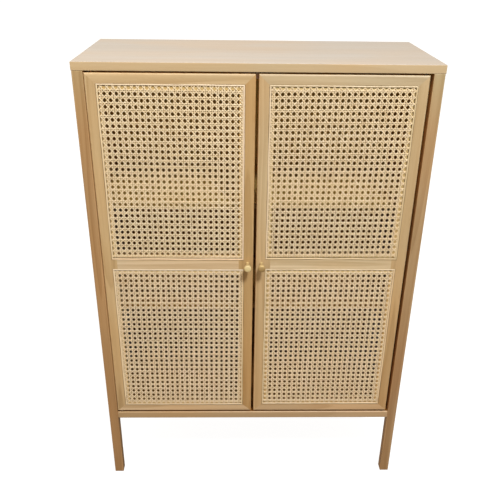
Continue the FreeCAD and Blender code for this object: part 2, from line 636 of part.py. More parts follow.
    # pivot pins in the hinge stile, through the mitre from the rail
    px = PIVOT_LEFT_X if hinge < 0 else PIVOT_RIGHT_X
    pin_top = cylinder(p + "pin_top", "pivot_radius", "pivot_in_door + pivot_up", px, PIVOT_Y, DOOR_TOP + " - pivot_in_door")
    pin_low = cylinder(p + "pin_low", "pivot_radius", "pivot_in_door + pivot_down", px, PIVOT_Y, "door_bottom_z - pivot_down")
    node(group(p + "pin_group", [pin_top, pin_low]), p + "pivot_pins")
    pin_holes_door = [
        cylinder(p + "pin_hole_top", "pivot_hole_radius", "pivot_in_door + dowel_end_play", px, PIVOT_Y, DOOR_TOP, "-z"),
        cylinder(p + "pin_hole_low", "pivot_hole_radius", "pivot_in_door + dowel_end_play", px, PIVOT_Y, "door_bottom_z")]

    # knob, its screw and its hole
    kx = "(%s - knob_from_edge)" % right if hinge < 0 else "(%s + knob_from_edge)" % x0
    knob(side, kx)
    knob_screw(side, kx)
    knob_hole = cylinder(p + "knob_hole", "knob_hole_radius", "door_thick + 4", kx, front + " - 2", "knob_z", "y")

    # strike plate of the catch, on the back of the knob stile
    sx = "(%s %s magnet_spread)" % (MIDDLE_X, "-" if hinge < 0 else "+")
    sz = "(%s - 2)" % DOOR_TOP
    plate = box(p + "strike_block", "strike_width", "strike_thick", "strike_height",
                sx + " - strike_width / 2", DOOR_BACK, sz + " - strike_height")
    screw_z = sz + " - strike_height + 5"
    hole = cylinder(p + "strike_hole", "strike_screw_shank + 0.1", "strike_thick + 2", sx, DOOR_BACK + " - 1", screw_z, "y")
    node(cut(p + "strike_cut", plate, [hole]), p + "strike_plate")
    node(joined(p + "strike_screw_fuse", [
        cylinder(p + "strike_screw_head", "strike_screw_head", "strike_screw_head_thick", sx, DOOR_BACK + " + strike_thick", screw_z, "y"),
        cylinder(p + "strike_screw_shank", "strike_screw_shank", "strike_screw_length + strike_thick", sx, DOOR_BACK + " + strike_thick + 0.1", screw_z, "-y")]),
        p + "strike_screw")
    strike_pilot = cylinder(p + "strike_pilot", "strike_screw_shank + 0.02", "strike_screw_length + 0.5", sx, DOOR_BACK, screw_z, "-y")

    # stiles and rails, mitred at the corners
    face_y = size["board_front_y"] + size["front_overhang"] + size["door_recess"]
    for end, x, y, way in (("left", x0, front + " + door_thick", "x"), ("right", right, front, "-x")):
        block = mitred(p + "stile_block_" + end, "door_height", low, "rail_top_height", "stile_width", "door_thick",
                       x, y, "door_bottom_z", way)
        on_hinge = (end == "left") == (hinge < 0)
        doc.recompute()
        outer_x = block.Shape.BoundBox.XMin if end == "left" else block.Shape.BoundBox.XMax
        soft = eased(p + "stile_eased_" + end, block, size["door_ease"],
                     lambda a, b: near(a.y, face_y) and near(b.y, face_y) and near(a.x, b.x) and near(a.x, outer_x))
        tools = grooves + drills + (pin_holes_door if on_hinge else [knob_hole, strike_pilot])
        node(cut(p + "stile_cut_" + end, soft, tools), p + ("hinge_stile" if on_hinge else "knob_stile"))
    for rail, y, z, way in (("top", front, DOOR_TOP, "-z"), ("bottom", front + " + door_thick", "door_bottom_z", "z")):
        block = mitred(p + "rail_block_" + rail, across, "stile_width", "stile_width", "rail_top_height" if rail == "top" else low, "door_thick",
                       x0, y, z, way)
        doc.recompute()
        outer_z = block.Shape.BoundBox.ZMax if rail == "top" else block.Shape.BoundBox.ZMin
        soft = eased(p + "rail_eased_" + rail, block, size["door_ease"],
                     lambda a, b: near(a.y, face_y) and near(b.y, face_y) and near(a.z, b.z) and near(a.z, outer_z))
        node(cut(p + "rail_cut_" + rail, soft, grooves + drills + pin_holes_door), p + "rail_" + rail)
    block = box(p + "rail_block_mid", across + " - 2 * stile_width", "door_thick", "rail_mid_height",
                "%s + stile_width" % x0, front, "(%s - rail_mid_height / 2)" % mid)
    node(cut(p + "rail_cut_mid", block, grooves + drills), p + "rail_mid")


door("left", LEFT_X, -1)
door("right", RIGHT_X, 1)

# ---------------------------------------------------------------- checks and files
doc.recompute()
bad = [o.Name for o in doc.Objects if "Invalid" in o.State or "Error" in o.State]
if bad:
    raise RuntimeError("failed objects: " + ", ".join(bad))
labels = [label for label, _ in NODES]
if len(set(labels)) != len(labels) or len(labels) > 60:
    raise RuntimeError("labels are not unique, or too many")
for label, obj in NODES:
    shape = obj.Shape
    if shape.isNull() or not shape.isValid() or not shape.Solids:
        raise RuntimeError("bad shape: " + label)
os.makedirs("parts", exist_ok=True)
for label, obj in NODES:
    obj.Shape.exportStep(os.path.join("parts", label + ".step"))
    print("%-32s %3d solid  %10.1f mm3" % (label, len(obj.Shape.Solids), obj.Shape.Volume))
print(len(NODES), "nodes")
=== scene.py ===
import math

import bmesh
import bpy
import numpy as np
from mathutils import Matrix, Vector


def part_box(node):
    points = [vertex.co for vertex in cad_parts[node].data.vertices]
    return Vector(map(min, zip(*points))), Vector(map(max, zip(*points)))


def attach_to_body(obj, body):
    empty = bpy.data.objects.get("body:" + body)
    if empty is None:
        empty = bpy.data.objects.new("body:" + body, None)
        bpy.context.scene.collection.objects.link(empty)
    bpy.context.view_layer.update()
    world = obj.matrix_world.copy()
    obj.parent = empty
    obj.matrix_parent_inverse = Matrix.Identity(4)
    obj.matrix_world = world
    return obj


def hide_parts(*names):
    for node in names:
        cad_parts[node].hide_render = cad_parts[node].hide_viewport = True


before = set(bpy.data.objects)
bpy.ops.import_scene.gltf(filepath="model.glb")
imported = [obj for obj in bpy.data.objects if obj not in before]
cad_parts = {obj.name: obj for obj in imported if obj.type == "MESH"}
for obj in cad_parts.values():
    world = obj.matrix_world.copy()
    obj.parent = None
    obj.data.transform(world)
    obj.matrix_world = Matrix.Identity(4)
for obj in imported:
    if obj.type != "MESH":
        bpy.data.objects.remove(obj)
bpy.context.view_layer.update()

MM = 0.001
scene = bpy.context.scene
rng = np.random.default_rng(20)


def srgb(r, g, b):
    """Linear colour of a screen colour given as 0 to 255."""
    out = []
    for c in (r, g, b):
        c /= 255
        out.append(c / 12.92 if c <= 0.04045 else ((c + 0.055) / 1.055) ** 2.4)
    return out


# ---------------------------------------------------------------- materials


class Shader:
    """A node material with short calls for the nodes it is made of."""

    def __init__(self, name):
        self.mat = bpy.data.materials.new(name)
        self.mat.use_nodes = True
        self.tree = self.mat.node_tree
        self.tree.nodes.clear()
        out = self.add("ShaderNodeOutputMaterial")
        self.bsdf = self.add("ShaderNodeBsdfPrincipled")
        self.tree.links.new(self.bsdf.outputs[0], out.inputs[0])

    def add(self, kind, **settings):
        n = self.tree.nodes.new(kind)
        for k, v in settings.items():
            setattr(n, k, v)
        return n

    def put(self, socket, value):
        if isinstance(value, bpy.types.NodeSocket):
            self.tree.links.new(value, socket)
        else:
            socket.default_value = value

    def set(self, name, value):
        self.put(self.bsdf.inputs[name], value)

    def math(self, operation, a, b=0.0, clamp=False):
        n = self.add("ShaderNodeMath", operation=operation, use_clamp=clamp)
        self.put(n.inputs[0], a)
        self.put(n.inputs[1], b)
        return n.outputs[0]

    def vector(self, operation, a, b=(0.0, 0.0, 0.0)):
        n = self.add("ShaderNodeVectorMath", operation=operation)
        self.put(n.inputs[0], a)
        self.put(n.inputs[1], b)
        return n.outputs["Value" if operation == "LENGTH" else "Vector"]

    def attribute(self, name, output):
        return self.add("ShaderNodeAttribute", attribute_name=name).outputs[output]

    def place(self):
        return self.add("ShaderNodeTexCoord").outputs["Object"]

    def noise(self, where, scale=1.0, detail=2.0, rough=0.55, output="Fac"):
        n = self.add("ShaderNodeTexNoise")
        self.put(n.inputs["Vector"], where)
        n.inputs["Scale"].default_value = scale
        n.inputs["Detail"].default_value = detail
        n.inputs["Roughness"].default_value = rough
        return n.outputs[output]

    def span(self, value, a, b, c=0.0, d=1.0):
        n = self.add("ShaderNodeMapRange")
        self.put(n.inputs["Value"], value)
        for key, x in zip(("From Min", "From Max", "To Min", "To Max"), (a, b, c, d)):
            n.inputs[key].default_value = x
        return n.outputs[0]

    def mix(self, factor, a, b, blend="MIX"):
        n = self.add("ShaderNodeMix", data_type="RGBA", blend_type=blend)
        self.put(n.inputs[0], factor)
        for socket, value in ((n.inputs[6], a), (n.inputs[7], b)):
            if isinstance(value, (list, tuple)) and len(value) == 3:
                value = (*value, 1.0)
            self.put(socket, value)
        return n.outputs[2]

    def bump(self, height, strength, distance, under=None):
        n = self.add("ShaderNodeBump")
        n.inputs["Strength"].default_value = strength
        n.inputs["Distance"].default_value = distance
        self.put(n.inputs["Height"], height)
        if under is not None:
            self.put(n.inputs["Normal"], under)
        return n.outputs[0]

    def total(self, *parts):
        """Weighted sum: each part is (socket, weight, middle)."""
        out = None
        for socket, weight, middle in parts:
            x = self.math("MULTIPLY", self.math("SUBTRACT", socket, middle), weight)
            out = x if out is None else self.math("ADD", out, x)
        return out


def wood(name, colour=None, ring=0.30, streak=0.75, fibre=0.55, rough=0.40, coat=0.0):
    """Lacquered pale hardwood. Grain runs along the first coordinate.

    A built piece carries its coordinates and colour as attributes; a solid that
    keeps its own mesh gives a colour here and uses its object coordinates.
    """
    s = Shader(name)
    if colour is None:
        at = s.attribute("grain", "Vector")
        tint = s.attribute("tint", "Color")
        edge = s.attribute("edge", "Fac")
    else:
        at, tint, edge = s.place(), (*colour, 1.0), 0.0
    # growth rings, seen as arches because the board is cut beside the heart
    drift = s.noise(s.vector("MULTIPLY", at, (0.9, 5.0, 5.0)), 1.0, 2.0, 0.5, "Color")
    drift = s.vector("MULTIPLY", s.vector("SUBTRACT", drift, (0.5, 0.5, 0.5)), (0.0, 0.055, 0.045))
    heart = s.vector("ADD", s.vector("MULTIPLY", at, (0.004, 1.0, 1.0)), drift)
    radius = s.vector("LENGTH", s.vector("MULTIPLY", heart, (0.0, 1.0, 1.0)))
    bands = s.math("FRACT", s.math("MULTIPLY", radius, 165.0))
    late = s.math("MULTIPLY", s.span(bands, 0.25, 0.92), s.span(bands, 1.0, 0.93))
    # fibres, broad streaks and short open pores
    fine = s.noise(s.vector("MULTIPLY", at, (9.0, 620.0, 620.0)), 1.0, 3.0, 0.6)
    broad = s.noise(s.vector("MULTIPLY", at, (1.5, 48.0, 48.0)), 1.0, 3.0, 0.55)
    cloud = s.noise(s.vector("MULTIPLY", at, (3.0, 9.0, 9.0)), 1.0, 2.0, 0.5)
    pore = s.noise(s.vector("MULTIPLY", at, (34.0, 1150.0, 1150.0)), 1.0, 1.0, 0.5)
    pore = s.span(pore, 0.62, 0.74)
    fleck = s.noise(s.vector("MULTIPLY", at, (70.0, 260.0, 260.0)), 1.0, 1.0, 0.5)
    fleck = s.span(fleck, 0.64, 0.76)
    worn = s.math("MULTIPLY", edge, s.span(s.noise(at, 55.0, 3.0, 0.6), 0.35, 0.7))
    tone = s.total(
        (late, -ring, 0.28), (broad, streak, 0.5), (fine, fibre, 0.5), (pore, -0.16, 0.1),
        (fleck, 0.10, 0.05), (worn, 0.30, 0.0),
    )
    tone = s.math("ADD", tone, 0.5, clamp=True)
    dark = s.mix(1.0, tint, (0.80, 0.735, 0.65), "MULTIPLY")
    light = s.mix(1.0, tint, (1.16, 1.19, 1.25), "MULTIPLY")
    body = s.mix(tone, dark, light)
    # slow drift between a warmer and a cooler cast along the board
    body = s.mix(s.span(cloud, 0.36, 0.64), s.mix(1.0, body, (1.03, 0.985, 0.93), "MULTIPLY"),
                 s.mix(1.0, body, (0.975, 1.01, 1.05), "MULTIPLY"))
    s.set("Base Color", body)
    s.set("Roughness", s.math("ADD", s.total((fine, 0.16, 0.5), (pore, 0.18, 0.0), (worn, 0.12, 0.0)), rough))
    relief = s.math("SUBTRACT", s.math("MULTIPLY", fine, 0.5), pore)
    s.set("Normal", s.bump(relief, 0.22, 0.0003))
    s.bsdf.inputs["Specular IOR Level"].default_value = 0.5
    if coat:
        s.bsdf.inputs["Coat Weight"].default_value = coat
        s.bsdf.inputs["Coat Roughness"].default_value = 0.28
    return s.mat


def cane_skin(name, pale, warm, dusky, rough=0.36, shade=0.55):
    """Split cane: glossy skin, fine lengthwise fibres, each strand a little different."""
    s = Shader(name)
    at = s.attribute("cane", "Vector")
    split = s.add("ShaderNodeSeparateXYZ")
    s.put(split.inputs[0], at)
    along, across, which = split.outputs
    strand = s.noise(s.vector("MULTIPLY", at, (1.2, 0.0, 91.0)), 1.0, 1.0, 0.5)
    patch = s.noise(s.vector("MULTIPLY", at, (46.0, 0.35, 37.0)), 1.0, 3.0, 0.6)
    fibre = s.noise(s.vector("MULTIPLY", at, (55.0, 5.5, 61.0)), 1.0, 3.0, 0.65)
    node = s.span(s.noise(s.vector("MULTIPLY", at, (21.0, 0.12, 53.0)), 1.0, 0.0, 0.5), 0.69, 0.78)
    rim = s.span(s.math("ABSOLUTE", across), 0.55, 1.0)
    body = s.mix(s.span(strand, 0.34, 0.66), pale, warm)
    body = s.mix(s.span(patch, 0.52, 0.80, 0.0, 0.55), body, dusky)
    body = s.mix(s.math("MULTIPLY", node, 0.6), body, s.mix(1.0, body, (0.62, 0.50, 0.36), "MULTIPLY"))
    lines = s.math("MULTIPLY", s.span(fibre, 0.45, 0.75), 0.35)
    body = s.mix(lines, body, s.mix(1.0, body, (0.80, 0.74, 0.64), "MULTIPLY"))
    # painted shade towards each strand's edges
    body = s.mix(s.math("MULTIPLY", rim, shade), body, s.mix(1.0, body, (0.62, 0.52, 0.38), "MULTIPLY"))
    # painted shade along the slot between the two of a pair, a painted highlight along the edge towards an eye
    painted_edge_light = s.attribute("painted_edge_light", "Fac")
    body = s.mix(s.span(painted_edge_light, -0.2, -0.95, 0.0, 0.8), body, s.mix(1.0, body, (0.50, 0.38, 0.22), "MULTIPLY"))
    body = s.mix(s.span(painted_edge_light, 0.15, 0.9, 0.0, 0.7), body, s.mix(1.0, body, (1.10, 1.15, 1.24), "MULTIPLY"))
    s.set("Base Color", s.mix(1.0, body, s.attribute("tint", "Color"), "MULTIPLY"))
    s.set("Roughness", s.math("ADD", s.total((fibre, 0.25, 0.5), (patch, 0.2, 0.5)), rough))
    s.set("Normal", s.bump(fibre, 0.25, 0.00015))
    s.bsdf.inputs["Specular IOR Level"].default_value = 0.5
    return s.mat


def brass(name, bright, dull, rough, metal=1.0, tinted=False):
    """Turned brass: fine rings from the lathe, handling marks and a little tarnish; less metal under lacquer."""
    s = Shader(name)
    at = s.place()
    rings = s.noise(s.vector("MULTIPLY", at, (40.0, 2600.0, 40.0)), 1.0, 2.0, 0.6)
    smudge = s.noise(at, 260.0, 3.0, 0.6)
    tarnish = s.span(s.noise(at, 120.0, 4.0, 0.65), 0.42, 0.72)
    body = s.mix(s.math("MULTIPLY", tarnish, 0.7), bright, dull)
    s.set("Base Color", s.mix(1.0, body, s.attribute("tint", "Color"), "MULTIPLY") if tinted else body)
    s.bsdf.inputs["Metallic"].default_value = metal
    s.set("Roughness", s.math("ADD", s.total((rings, 0.12, 0.5), (smudge, 0.30, 0.5), (tarnish, 0.1, 0.0)), rough))
    s.set("Normal", s.bump(s.math("ADD", rings, smudge), 0.10, 0.00012))
    return s.mat


def steel(name, bright, dull, rough=0.34):
    """Zinc-plated steel: brushed one way, clouded, a few darker specks."""
    s = Shader(name)
    at = s.place()
    brush = s.noise(s.vector("MULTIPLY", at, (90.0, 2400.0, 900.0)), 1.0, 2.0, 0.6)
    cloud = s.noise(at, 190.0, 3.0, 0.6)
    speck = s.span(s.noise(at, 1500.0, 1.0, 0.5), 0.66, 0.76)
    body = s.mix(s.span(cloud, 0.3, 0.7), dull, bright)
    s.set("Base Color", s.mix(s.math("MULTIPLY", speck, 0.5), body, s.mix(1.0, body, (0.4, 0.38, 0.36), "MULTIPLY")))
    s.bsdf.inputs["Metallic"].default_value = 1.0
    s.set("Roughness", s.math("ADD", s.total((brush, 0.25, 0.5), (cloud, 0.2, 0.5)), rough))
    s.set("Normal", s.bump(brush, 0.12, 0.0001))
    return s.mat


def plastic(name, body, shade, rough=0.45):
    """Moulded plastic: fine spark-eroded texture and slight flow marks."""
    s = Shader(name)
    at = s.place()
    grain = s.noise(at, 2600.0, 2.0, 0.6)
    flow = s.noise(at, 85.0, 3.0, 0.55)
    s.set("Base Color", s.mix(s.span(flow, 0.3, 0.7), shade, body))
    s.set("Roughness", s.math("ADD", s.total((grain, 0.2, 0.5), (flow, 0.15, 0.5)), rough))
    s.set("Normal", s.bump(grain, 0.2, 0.0001))
    return s.mat


WOOD = wood("lacquered_wood", ring=0.40, streak=1.15)
LEG_WOOD = wood("lacquered_leg", ring=0.42, streak=1.25, fibre=0.65)
BOARD = wood("veneered_board", ring=0.16, streak=0.5, fibre=0.4, rough=0.36)
DOWEL = wood("dowel_beech", colour=(0.62, 0.43, 0.24), rough=0.6)
CANE = cane_skin("woven_cane", (0.86, 0.72, 0.47), (0.80, 0.63, 0.36), (0.60, 0.42, 0.21), 0.36, 0.20)
REED = cane_skin("reed_spline", (0.84, 0.67, 0.45), (0.80, 0.62, 0.39), (0.62, 0.43, 0.23), 0.40)
# the two knobs' brass: a lit and a shaded copy of one material, differing only in colour
BRASS_LEFT = brass("brass_lit_copy", (0.74, 0.57, 0.27), (0.67, 0.51, 0.23), 0.62, 0.15, True)
BRASS_RIGHT = brass("brass_shaded_copy", (0.43, 0.275, 0.10), (0.36, 0.225, 0.08), 0.62, 0.15, True)
BRASS_BUSH = brass("brass_bush", (0.78, 0.58, 0.27), (0.55, 0.38, 0.15), 0.34)
STEEL = steel("plated_steel", (0.74, 0.74, 0.73), (0.56, 0.56, 0.57))
BURNISHED = steel("burnished_steel", (0.20, 0.16, 0.12), (0.12, 0.09, 0.07), 0.42)
MAGNET = steel("magnet_nickel", (0.52, 0.52, 0.53), (0.38, 0.38, 0.40), 0.28)
PLASTIC = plastic("moulded_plastic", (0.78, 0.75, 0.69), (0.70, 0.67, 0.60))
SPACER = plastic("spacer_plastic", (0.20, 0.12, 0.06), (0.14, 0.08, 0.04))
GLIDE = plastic("glide_plastic", (0.25, 0.20, 0.15), (0.18, 0.14, 0.10))

# ---------------------------------------------------------------- meshes


def attach(name, verts, faces, material, body, stands_for, sharp=40.0, attributes=(), repair=True):
    """A mesh in millimetres as a piece on a body, in place of CAD nodes."""
    mesh = bpy.data.meshes.new(name)
    mesh.from_pydata(np.asarray(verts, float) * MM, [], faces)
    for key, kind, values in attributes:
        a = mesh.attributes.new(key, kind, "POINT")
        field = {"FLOAT": "value", "FLOAT_VECTOR": "vector", "FLOAT_COLOR": "color"}[kind]
        a.data.foreach_set(field, np.ascontiguousarray(values, np.float32).ravel())
    if repair:
        bm = bmesh.new()
        bm.from_mesh(mesh)
        bmesh.ops.recalc_face_normals(bm, faces=bm.faces)
        bm.to_mesh(mesh)
        bm.free()
    mesh.shade_smooth()
    mesh.set_sharp_from_angle(angle=math.radians(sharp))
    mesh.materials.append(material)
    ob = bpy.data.objects.new(name, mesh)
    scene.collection.objects.link(ob)
    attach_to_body(ob, body)
    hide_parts(*stands_for)
    return ob


def painted_light_falloff(p):
    """Painted light and shade: a factor by height, darker towards the bottom and a little paler and cooler at the top,
    and a little darker towards the right.
    """
    at = (0, 210, 430, 700, 1000, 1150)
    tone = ((0.90, 0.84, 0.80), (0.97, 0.92, 0.88), (1.0, 0.96, 0.92), (1.0, 0.985, 0.965), (1.0, 1.0, 1.0), (1.0, 1.01, 1.03))
    up = np.stack([np.interp(p[:, 2], at, [t[k] for t in tone]) for k in range(3)], 1)
    return up * (1 - 0.05 * p[:, :1] / 400)


def wooden(name, verts, faces, edge, axis, tint, material, body, stands_for, slot, sharp=40.0):
    """A wooden piece: adds the grain coordinates, its own colour with the painted falloff of light, and the worn
    edges.
    """
    p = np.asarray(verts, float)
    order = {"X": (0, 2, 1), "Y": (1, 0, 2), "Z": (2, 0, 1)}[axis]
    mid = (p.max(0) + p.min(0)) / 2
    local = (p - mid)[:, order] * MM
    local += np.array([rng.uniform(-60, 60), rng.uniform(-0.012, 0.012), rng.uniform(0.03, 0.06)])
    colour = np.ones((len(p), 4))
    # painted shade: the colour falls off towards the bottom and towards the right
    colour[:, :3] = np.asarray(tint) * (1 + rng.uniform(-0.02, 0.02)) * painted_light_falloff(p)
    return attach(
        name, p, faces, material, body, stands_for, sharp,
        [("grain", "FLOAT_VECTOR", local), ("tint", "FLOAT_COLOR", colour), ("edge", "FLOAT", np.asarray(edge))],
    )


def stops(lo, hi, r, wear, step):
    """Positions along one side of a board: rounding, a narrow worn band, then even steps."""
    near = [0.0, r * (1 - math.tan(math.radians(22.5))), r, r + wear]
    inner = (hi - lo) - 2 * near[-1]
    n = max(1, round(inner / step))
    even = [lo + near[-1] + inner * k / n for k in range(1, n)]
    return [lo + d for d in near] + even + [hi - d for d in reversed(near)]


def rounded_board(lo, hi, r, wear=2.5, step=120.0, rows=()):
    """A board with all edges eased to radius r: vertices, faces and how near each is to an edge."""
    lo, hi = np.array(lo, float), np.array(hi, float)
    wear = min(wear, (hi - lo).min() / 2 - r - 0.3)
    lines = [stops(lo[k], hi[k], r, wear, step) for k in range(3)]
    lines[1] = sorted(lines[1] + [m for m in rows if min(abs(m - v) for v in lines[1]) > 0.5])
    index, points, faces = {}, [], []

    def at(p):
        key = tuple(round(c, 4) for c in p)
        if key not in index:
            index[key] = len(points)
            points.append(p)
        return index[key]

    for k in range(3):
        a, b = [j for j in range(3) if j != k]
        for side in (lo[k], hi[k]):
            for i in range(len(lines[a]) - 1):
                for j in range(len(lines[b]) - 1):
                    quad = []
                    for di, dj in ((0, 0), (1, 0), (1, 1), (0, 1)):
                        p = [0.0, 0.0, 0.0]
                        p[k], p[a], p[b] = side, lines[a][i + di], lines[b][j + dj]
                        quad.append(at(tuple(p)))
                    faces.append(quad)
    p = np.array(points)
    from_faces = np.sort(np.minimum(p - lo, hi - p), axis=1)[:, 1]
    edge = np.clip(1 - (from_faces - r) / wear, 0, 1)
    core = np.clip(p, lo + r, hi - r)
    d = p - core
    long = np.linalg.norm(d, axis=1, keepdims=True)
    p = np.where(long > 1e-9, core + d / np.maximum(long, 1e-9) * r, p)
    return p, faces, edge


def box_mm(node):
    """A CAD node's lowest and highest corner in millimetres."""
    lo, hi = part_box(node)
    return [c / MM for c in lo], [c / MM for c in hi]


def board(node, axis, r, tint, material, slot, wear=2.5, faced=None, behind=-1.0, rows=(), worn=1.0):
    """A carcass board. faced gives one face, as (axis, side), a veneer of another colour,
    from a distance behind the board's front."""
    lo, hi = box_mm(node)
    p, faces, edge = rounded_board(lo, hi, r, wear, rows=rows)
    if callable(tint):
        tint = tint(p)
    if faced is not None:
        k, side, veneer = faced
        flat = (abs(p[:, k] - (lo, hi)[side][k]) < 0.3 * r + 0.01) & (p[:, 1] > lo[1] + behind)
        tint = np.where(flat[:, None], veneer(p) if callable(veneer) else np.array(veneer), np.array(tint))
    return wooden(node + ".board", p, faces, edge * worn, axis, tint, material, "carcass", [node], slot)


def arc(r, n=5):
    """Offset from the side and depth below the face along a quarter round."""
    t = [math.radians(90 * k / n) for k in range(n + 1)]
    return [r * (1 - math.cos(a)) for a in t], [r * (1 - math.sin(a)) for a in t]


GROOVE, LEDGE_DEPTH, REED_WIDE = 6.2, 1.5, 5.0
FACE_Y, BACK_Y = (corner[1] for corner in box_mm("door_left_rail_mid"))


def frame_member(x0, x1, z0, z1, ease, panels):
    """A stile or rail of a door, front at FACE_Y: rounded where a side is an outer one,
    rebated for the cane and grooved for its reed. ease: left, right, bottom, top."""
    wear = 3.0

    def lines(lo, hi, ra, rb, marks):
        out = [lo + d for d in arc(ra)[0]] + [lo + ra + wear]
        out += [hi - d for d in arc(rb)[0]] + [hi - rb - wear]
        out += [m for m in marks if lo + 0.01 < m < hi - 0.01]
        n = max(1, round((hi - lo) / 110))
        out += [lo + (hi - lo) * k / n for k in range(1, n)]
        out = sorted(out)
        keep = [out[0]]
        for v in out[1:]:
            if v - keep[-1] > 0.02:
                keep.append(v)
        keep[-1] = hi
        return keep

    xs = lines(x0, x1, ease[0], ease[1], [m for p in panels for m in (p[0], p[0] + GROOVE, p[1] - GROOVE, p[1])])
    zs = lines(z0, z1, ease[2], ease[3], [m for p in panels for m in (p[2] - 0.7, p[2], p[2] + GROOVE, p[3] - GROOVE, p[3])])

    def sunk(x, z):
        for a, b, c, d in panels:
            inside = min(x - a, b - x, z - c, d - z)
            if inside > 0:
                return 6.0 if inside < GROOVE else LEDGE_DEPTH
        return 0.0

    def rounding(x, z):
        out = 0.0
        for d, r in ((x - x0, ease[0]), (x1 - x, ease[1]), (z - z0, ease[2]), (z1 - z, ease[3])):
            if d < r:
                out = max(out, r - math.sqrt(max(0.0, r * r - (r - d) ** 2)))
        return out

    index, points, edge, faces = {}, [], [], []

    def at(x, y, z, e):
        key = (round(x, 3), round(y, 3), round(z, 3))
        if key not in index:
            index[key] = len(points)
            points.append((x, y, z))
            edge.append(e)
        return index[key]

    def near(x, z):
        m = min((x - x0) - ease[0], (x1 - x) - ease[1], (z - z0) - ease[2], (z1 - z) - ease[3])
        return min(1.0, max(0.0, 1 - m / wear))

    def front(i, j, depth):
        x, z = xs[i], zs[j]
        return at(x, FACE_Y + depth + (rounding(x, z) if depth == 0 else 0.0), z, near(x, z))

    nx, nz = len(xs) - 1, len(zs) - 1
    depth = [[sunk((xs[i] + xs[i + 1]) / 2, (zs[j] + zs[j + 1]) / 2) for j in range(nz)] for i in range(nx)]
    for i in range(nx):
        for j in range(nz):
            d = depth[i][j]
            faces.append([front(i, j, d), front(i + 1, j, d), front(i + 1, j + 1, d), front(i, j + 1, d)])
            if i + 1 < nx and depth[i + 1][j] != d:
                e = depth[i + 1][j]
                faces.append([front(i + 1, j, d), front(i + 1, j, e), front(i + 1, j + 1, e), front(i + 1, j + 1, d)])
            if j + 1 < nz and depth[i][j + 1] != d:
                e = depth[i][j + 1]
                faces.append([front(i, j + 1, d), front(i, j + 1, e), front(i + 1, j + 1, e), front(i + 1, j + 1, d)])
    # walls, a small chamfer at the back, and the back face
    chamfer = 0.8
    loop = [(i, 0) for i in range(nx)] + [(nx, j) for j in range(nz)]
    loop += [(i, nz) for i in range(nx, 0, -1)] + [(0, j) for j in range(nz, 0, -1)]

    def cell(a, b):
        i, j = min(a[0], b[0]), min(a[1], b[1])
        return depth[min(i, nx - 1)][min(j, nz - 1)]

    def inner(i, j):
        x = min(max(xs[i], x0 + chamfer), x1 - chamfer)
        z = min(max(zs[j], z0 + chamfer), z1 - chamfer)
        return at(x, BACK_Y, z, 0.0)

    rim = []
    for a, b in zip(loop, loop[1:] + loop[:1]):
        d = cell(a, b)
        fa, fb = front(*a, d), front(*b, d)
        ma = at(xs[a[0]], FACE_Y + 9.0, zs[a[1]], 0.0)
        mb = at(xs[b[0]], FACE_Y + 9.0, zs[b[1]], 0.0)
        la = at(xs[a[0]], BACK_Y - chamfer, zs[a[1]], 1.0)
        lb = at(xs[b[0]], BACK_Y - chamfer, zs[b[1]], 1.0)
        ia, ib = inner(*a), inner(*b)
        faces.append([fa, fb, mb, ma])
        faces.append([ma, mb, lb, la])
        if ia == ib:
            faces.append([la, lb, ia])
        else:
            faces.append([la, lb, ib, ia])
        if not rim or rim[-1] != ia:
            rim.append(ia)
    if rim[0] == rim[-1]:
        rim.pop()
    faces.append(rim)
    return points, faces, edge


def mitred(points, faces, edge, cuts):
    """Cuts the ends off a frame member. Each cut runs from the frame's outer corner to its
    inner one and takes away the side on which the third point lies."""
    bm = bmesh.new()
    layer = bm.verts.layers.float.new("edge")
    verts = []
    for p, e in zip(points, edge):
        v = bm.verts.new(p)
        v[layer] = e
        verts.append(v)
    for f in faces:
        bm.faces.new([verts[i] for i in f])
    for (ax, az), (bx, bz), (cx, cz) in cuts:
        n = np.array([az - bz, 0.0, bx - ax])
        if n[0] * (cx - ax) + n[2] * (cz - az) < 0:
            n = -n
        geom = bm.verts[:] + bm.edges[:] + bm.faces[:]
        out = bmesh.ops.bisect_plane(bm, geom=geom, dist=1e-4, plane_co=(ax, 0.0, az), plane_no=n, clear_outer=True)
        bmesh.ops.holes_fill(bm, edges=[e for e in out["geom_cut"] if isinstance(e, bmesh.types.BMEdge)], sides=0)
    bm.verts.index_update()
    points = [tuple(v.co) for v in bm.verts]
    edge = [v[layer] for v in bm.verts]
    faces = [[v.index for v in f.verts] for f in bm.faces]
    bm.free()
    return points, faces, edge


def wave(length, size, longest, shortest, terms=4):
    """A slow random wander along a length: a function of the distance."""
    k = [(2 * math.pi / rng.uniform(shortest, longest), rng.uniform(0, 2 * math.pi), rng.normal()) for _ in range(terms)]
    scale = size / math.sqrt(terms / 2)
    return lambda t: scale * sum(a * np.sin(f * t + p) for f, p, a in k)


REED_SECTION = [  # distance in from the outer edge, height above the door's face
    (0.50, -2.4), (0.55, -0.60), (0.80, -0.05), (1.25, 0.40), (1.85, 0.70), (2.5, 0.80),
    (3.15, 0.70), (3.75, 0.38), (4.2, -0.1), (4.45, -0.7), (4.5, -2.4),
]


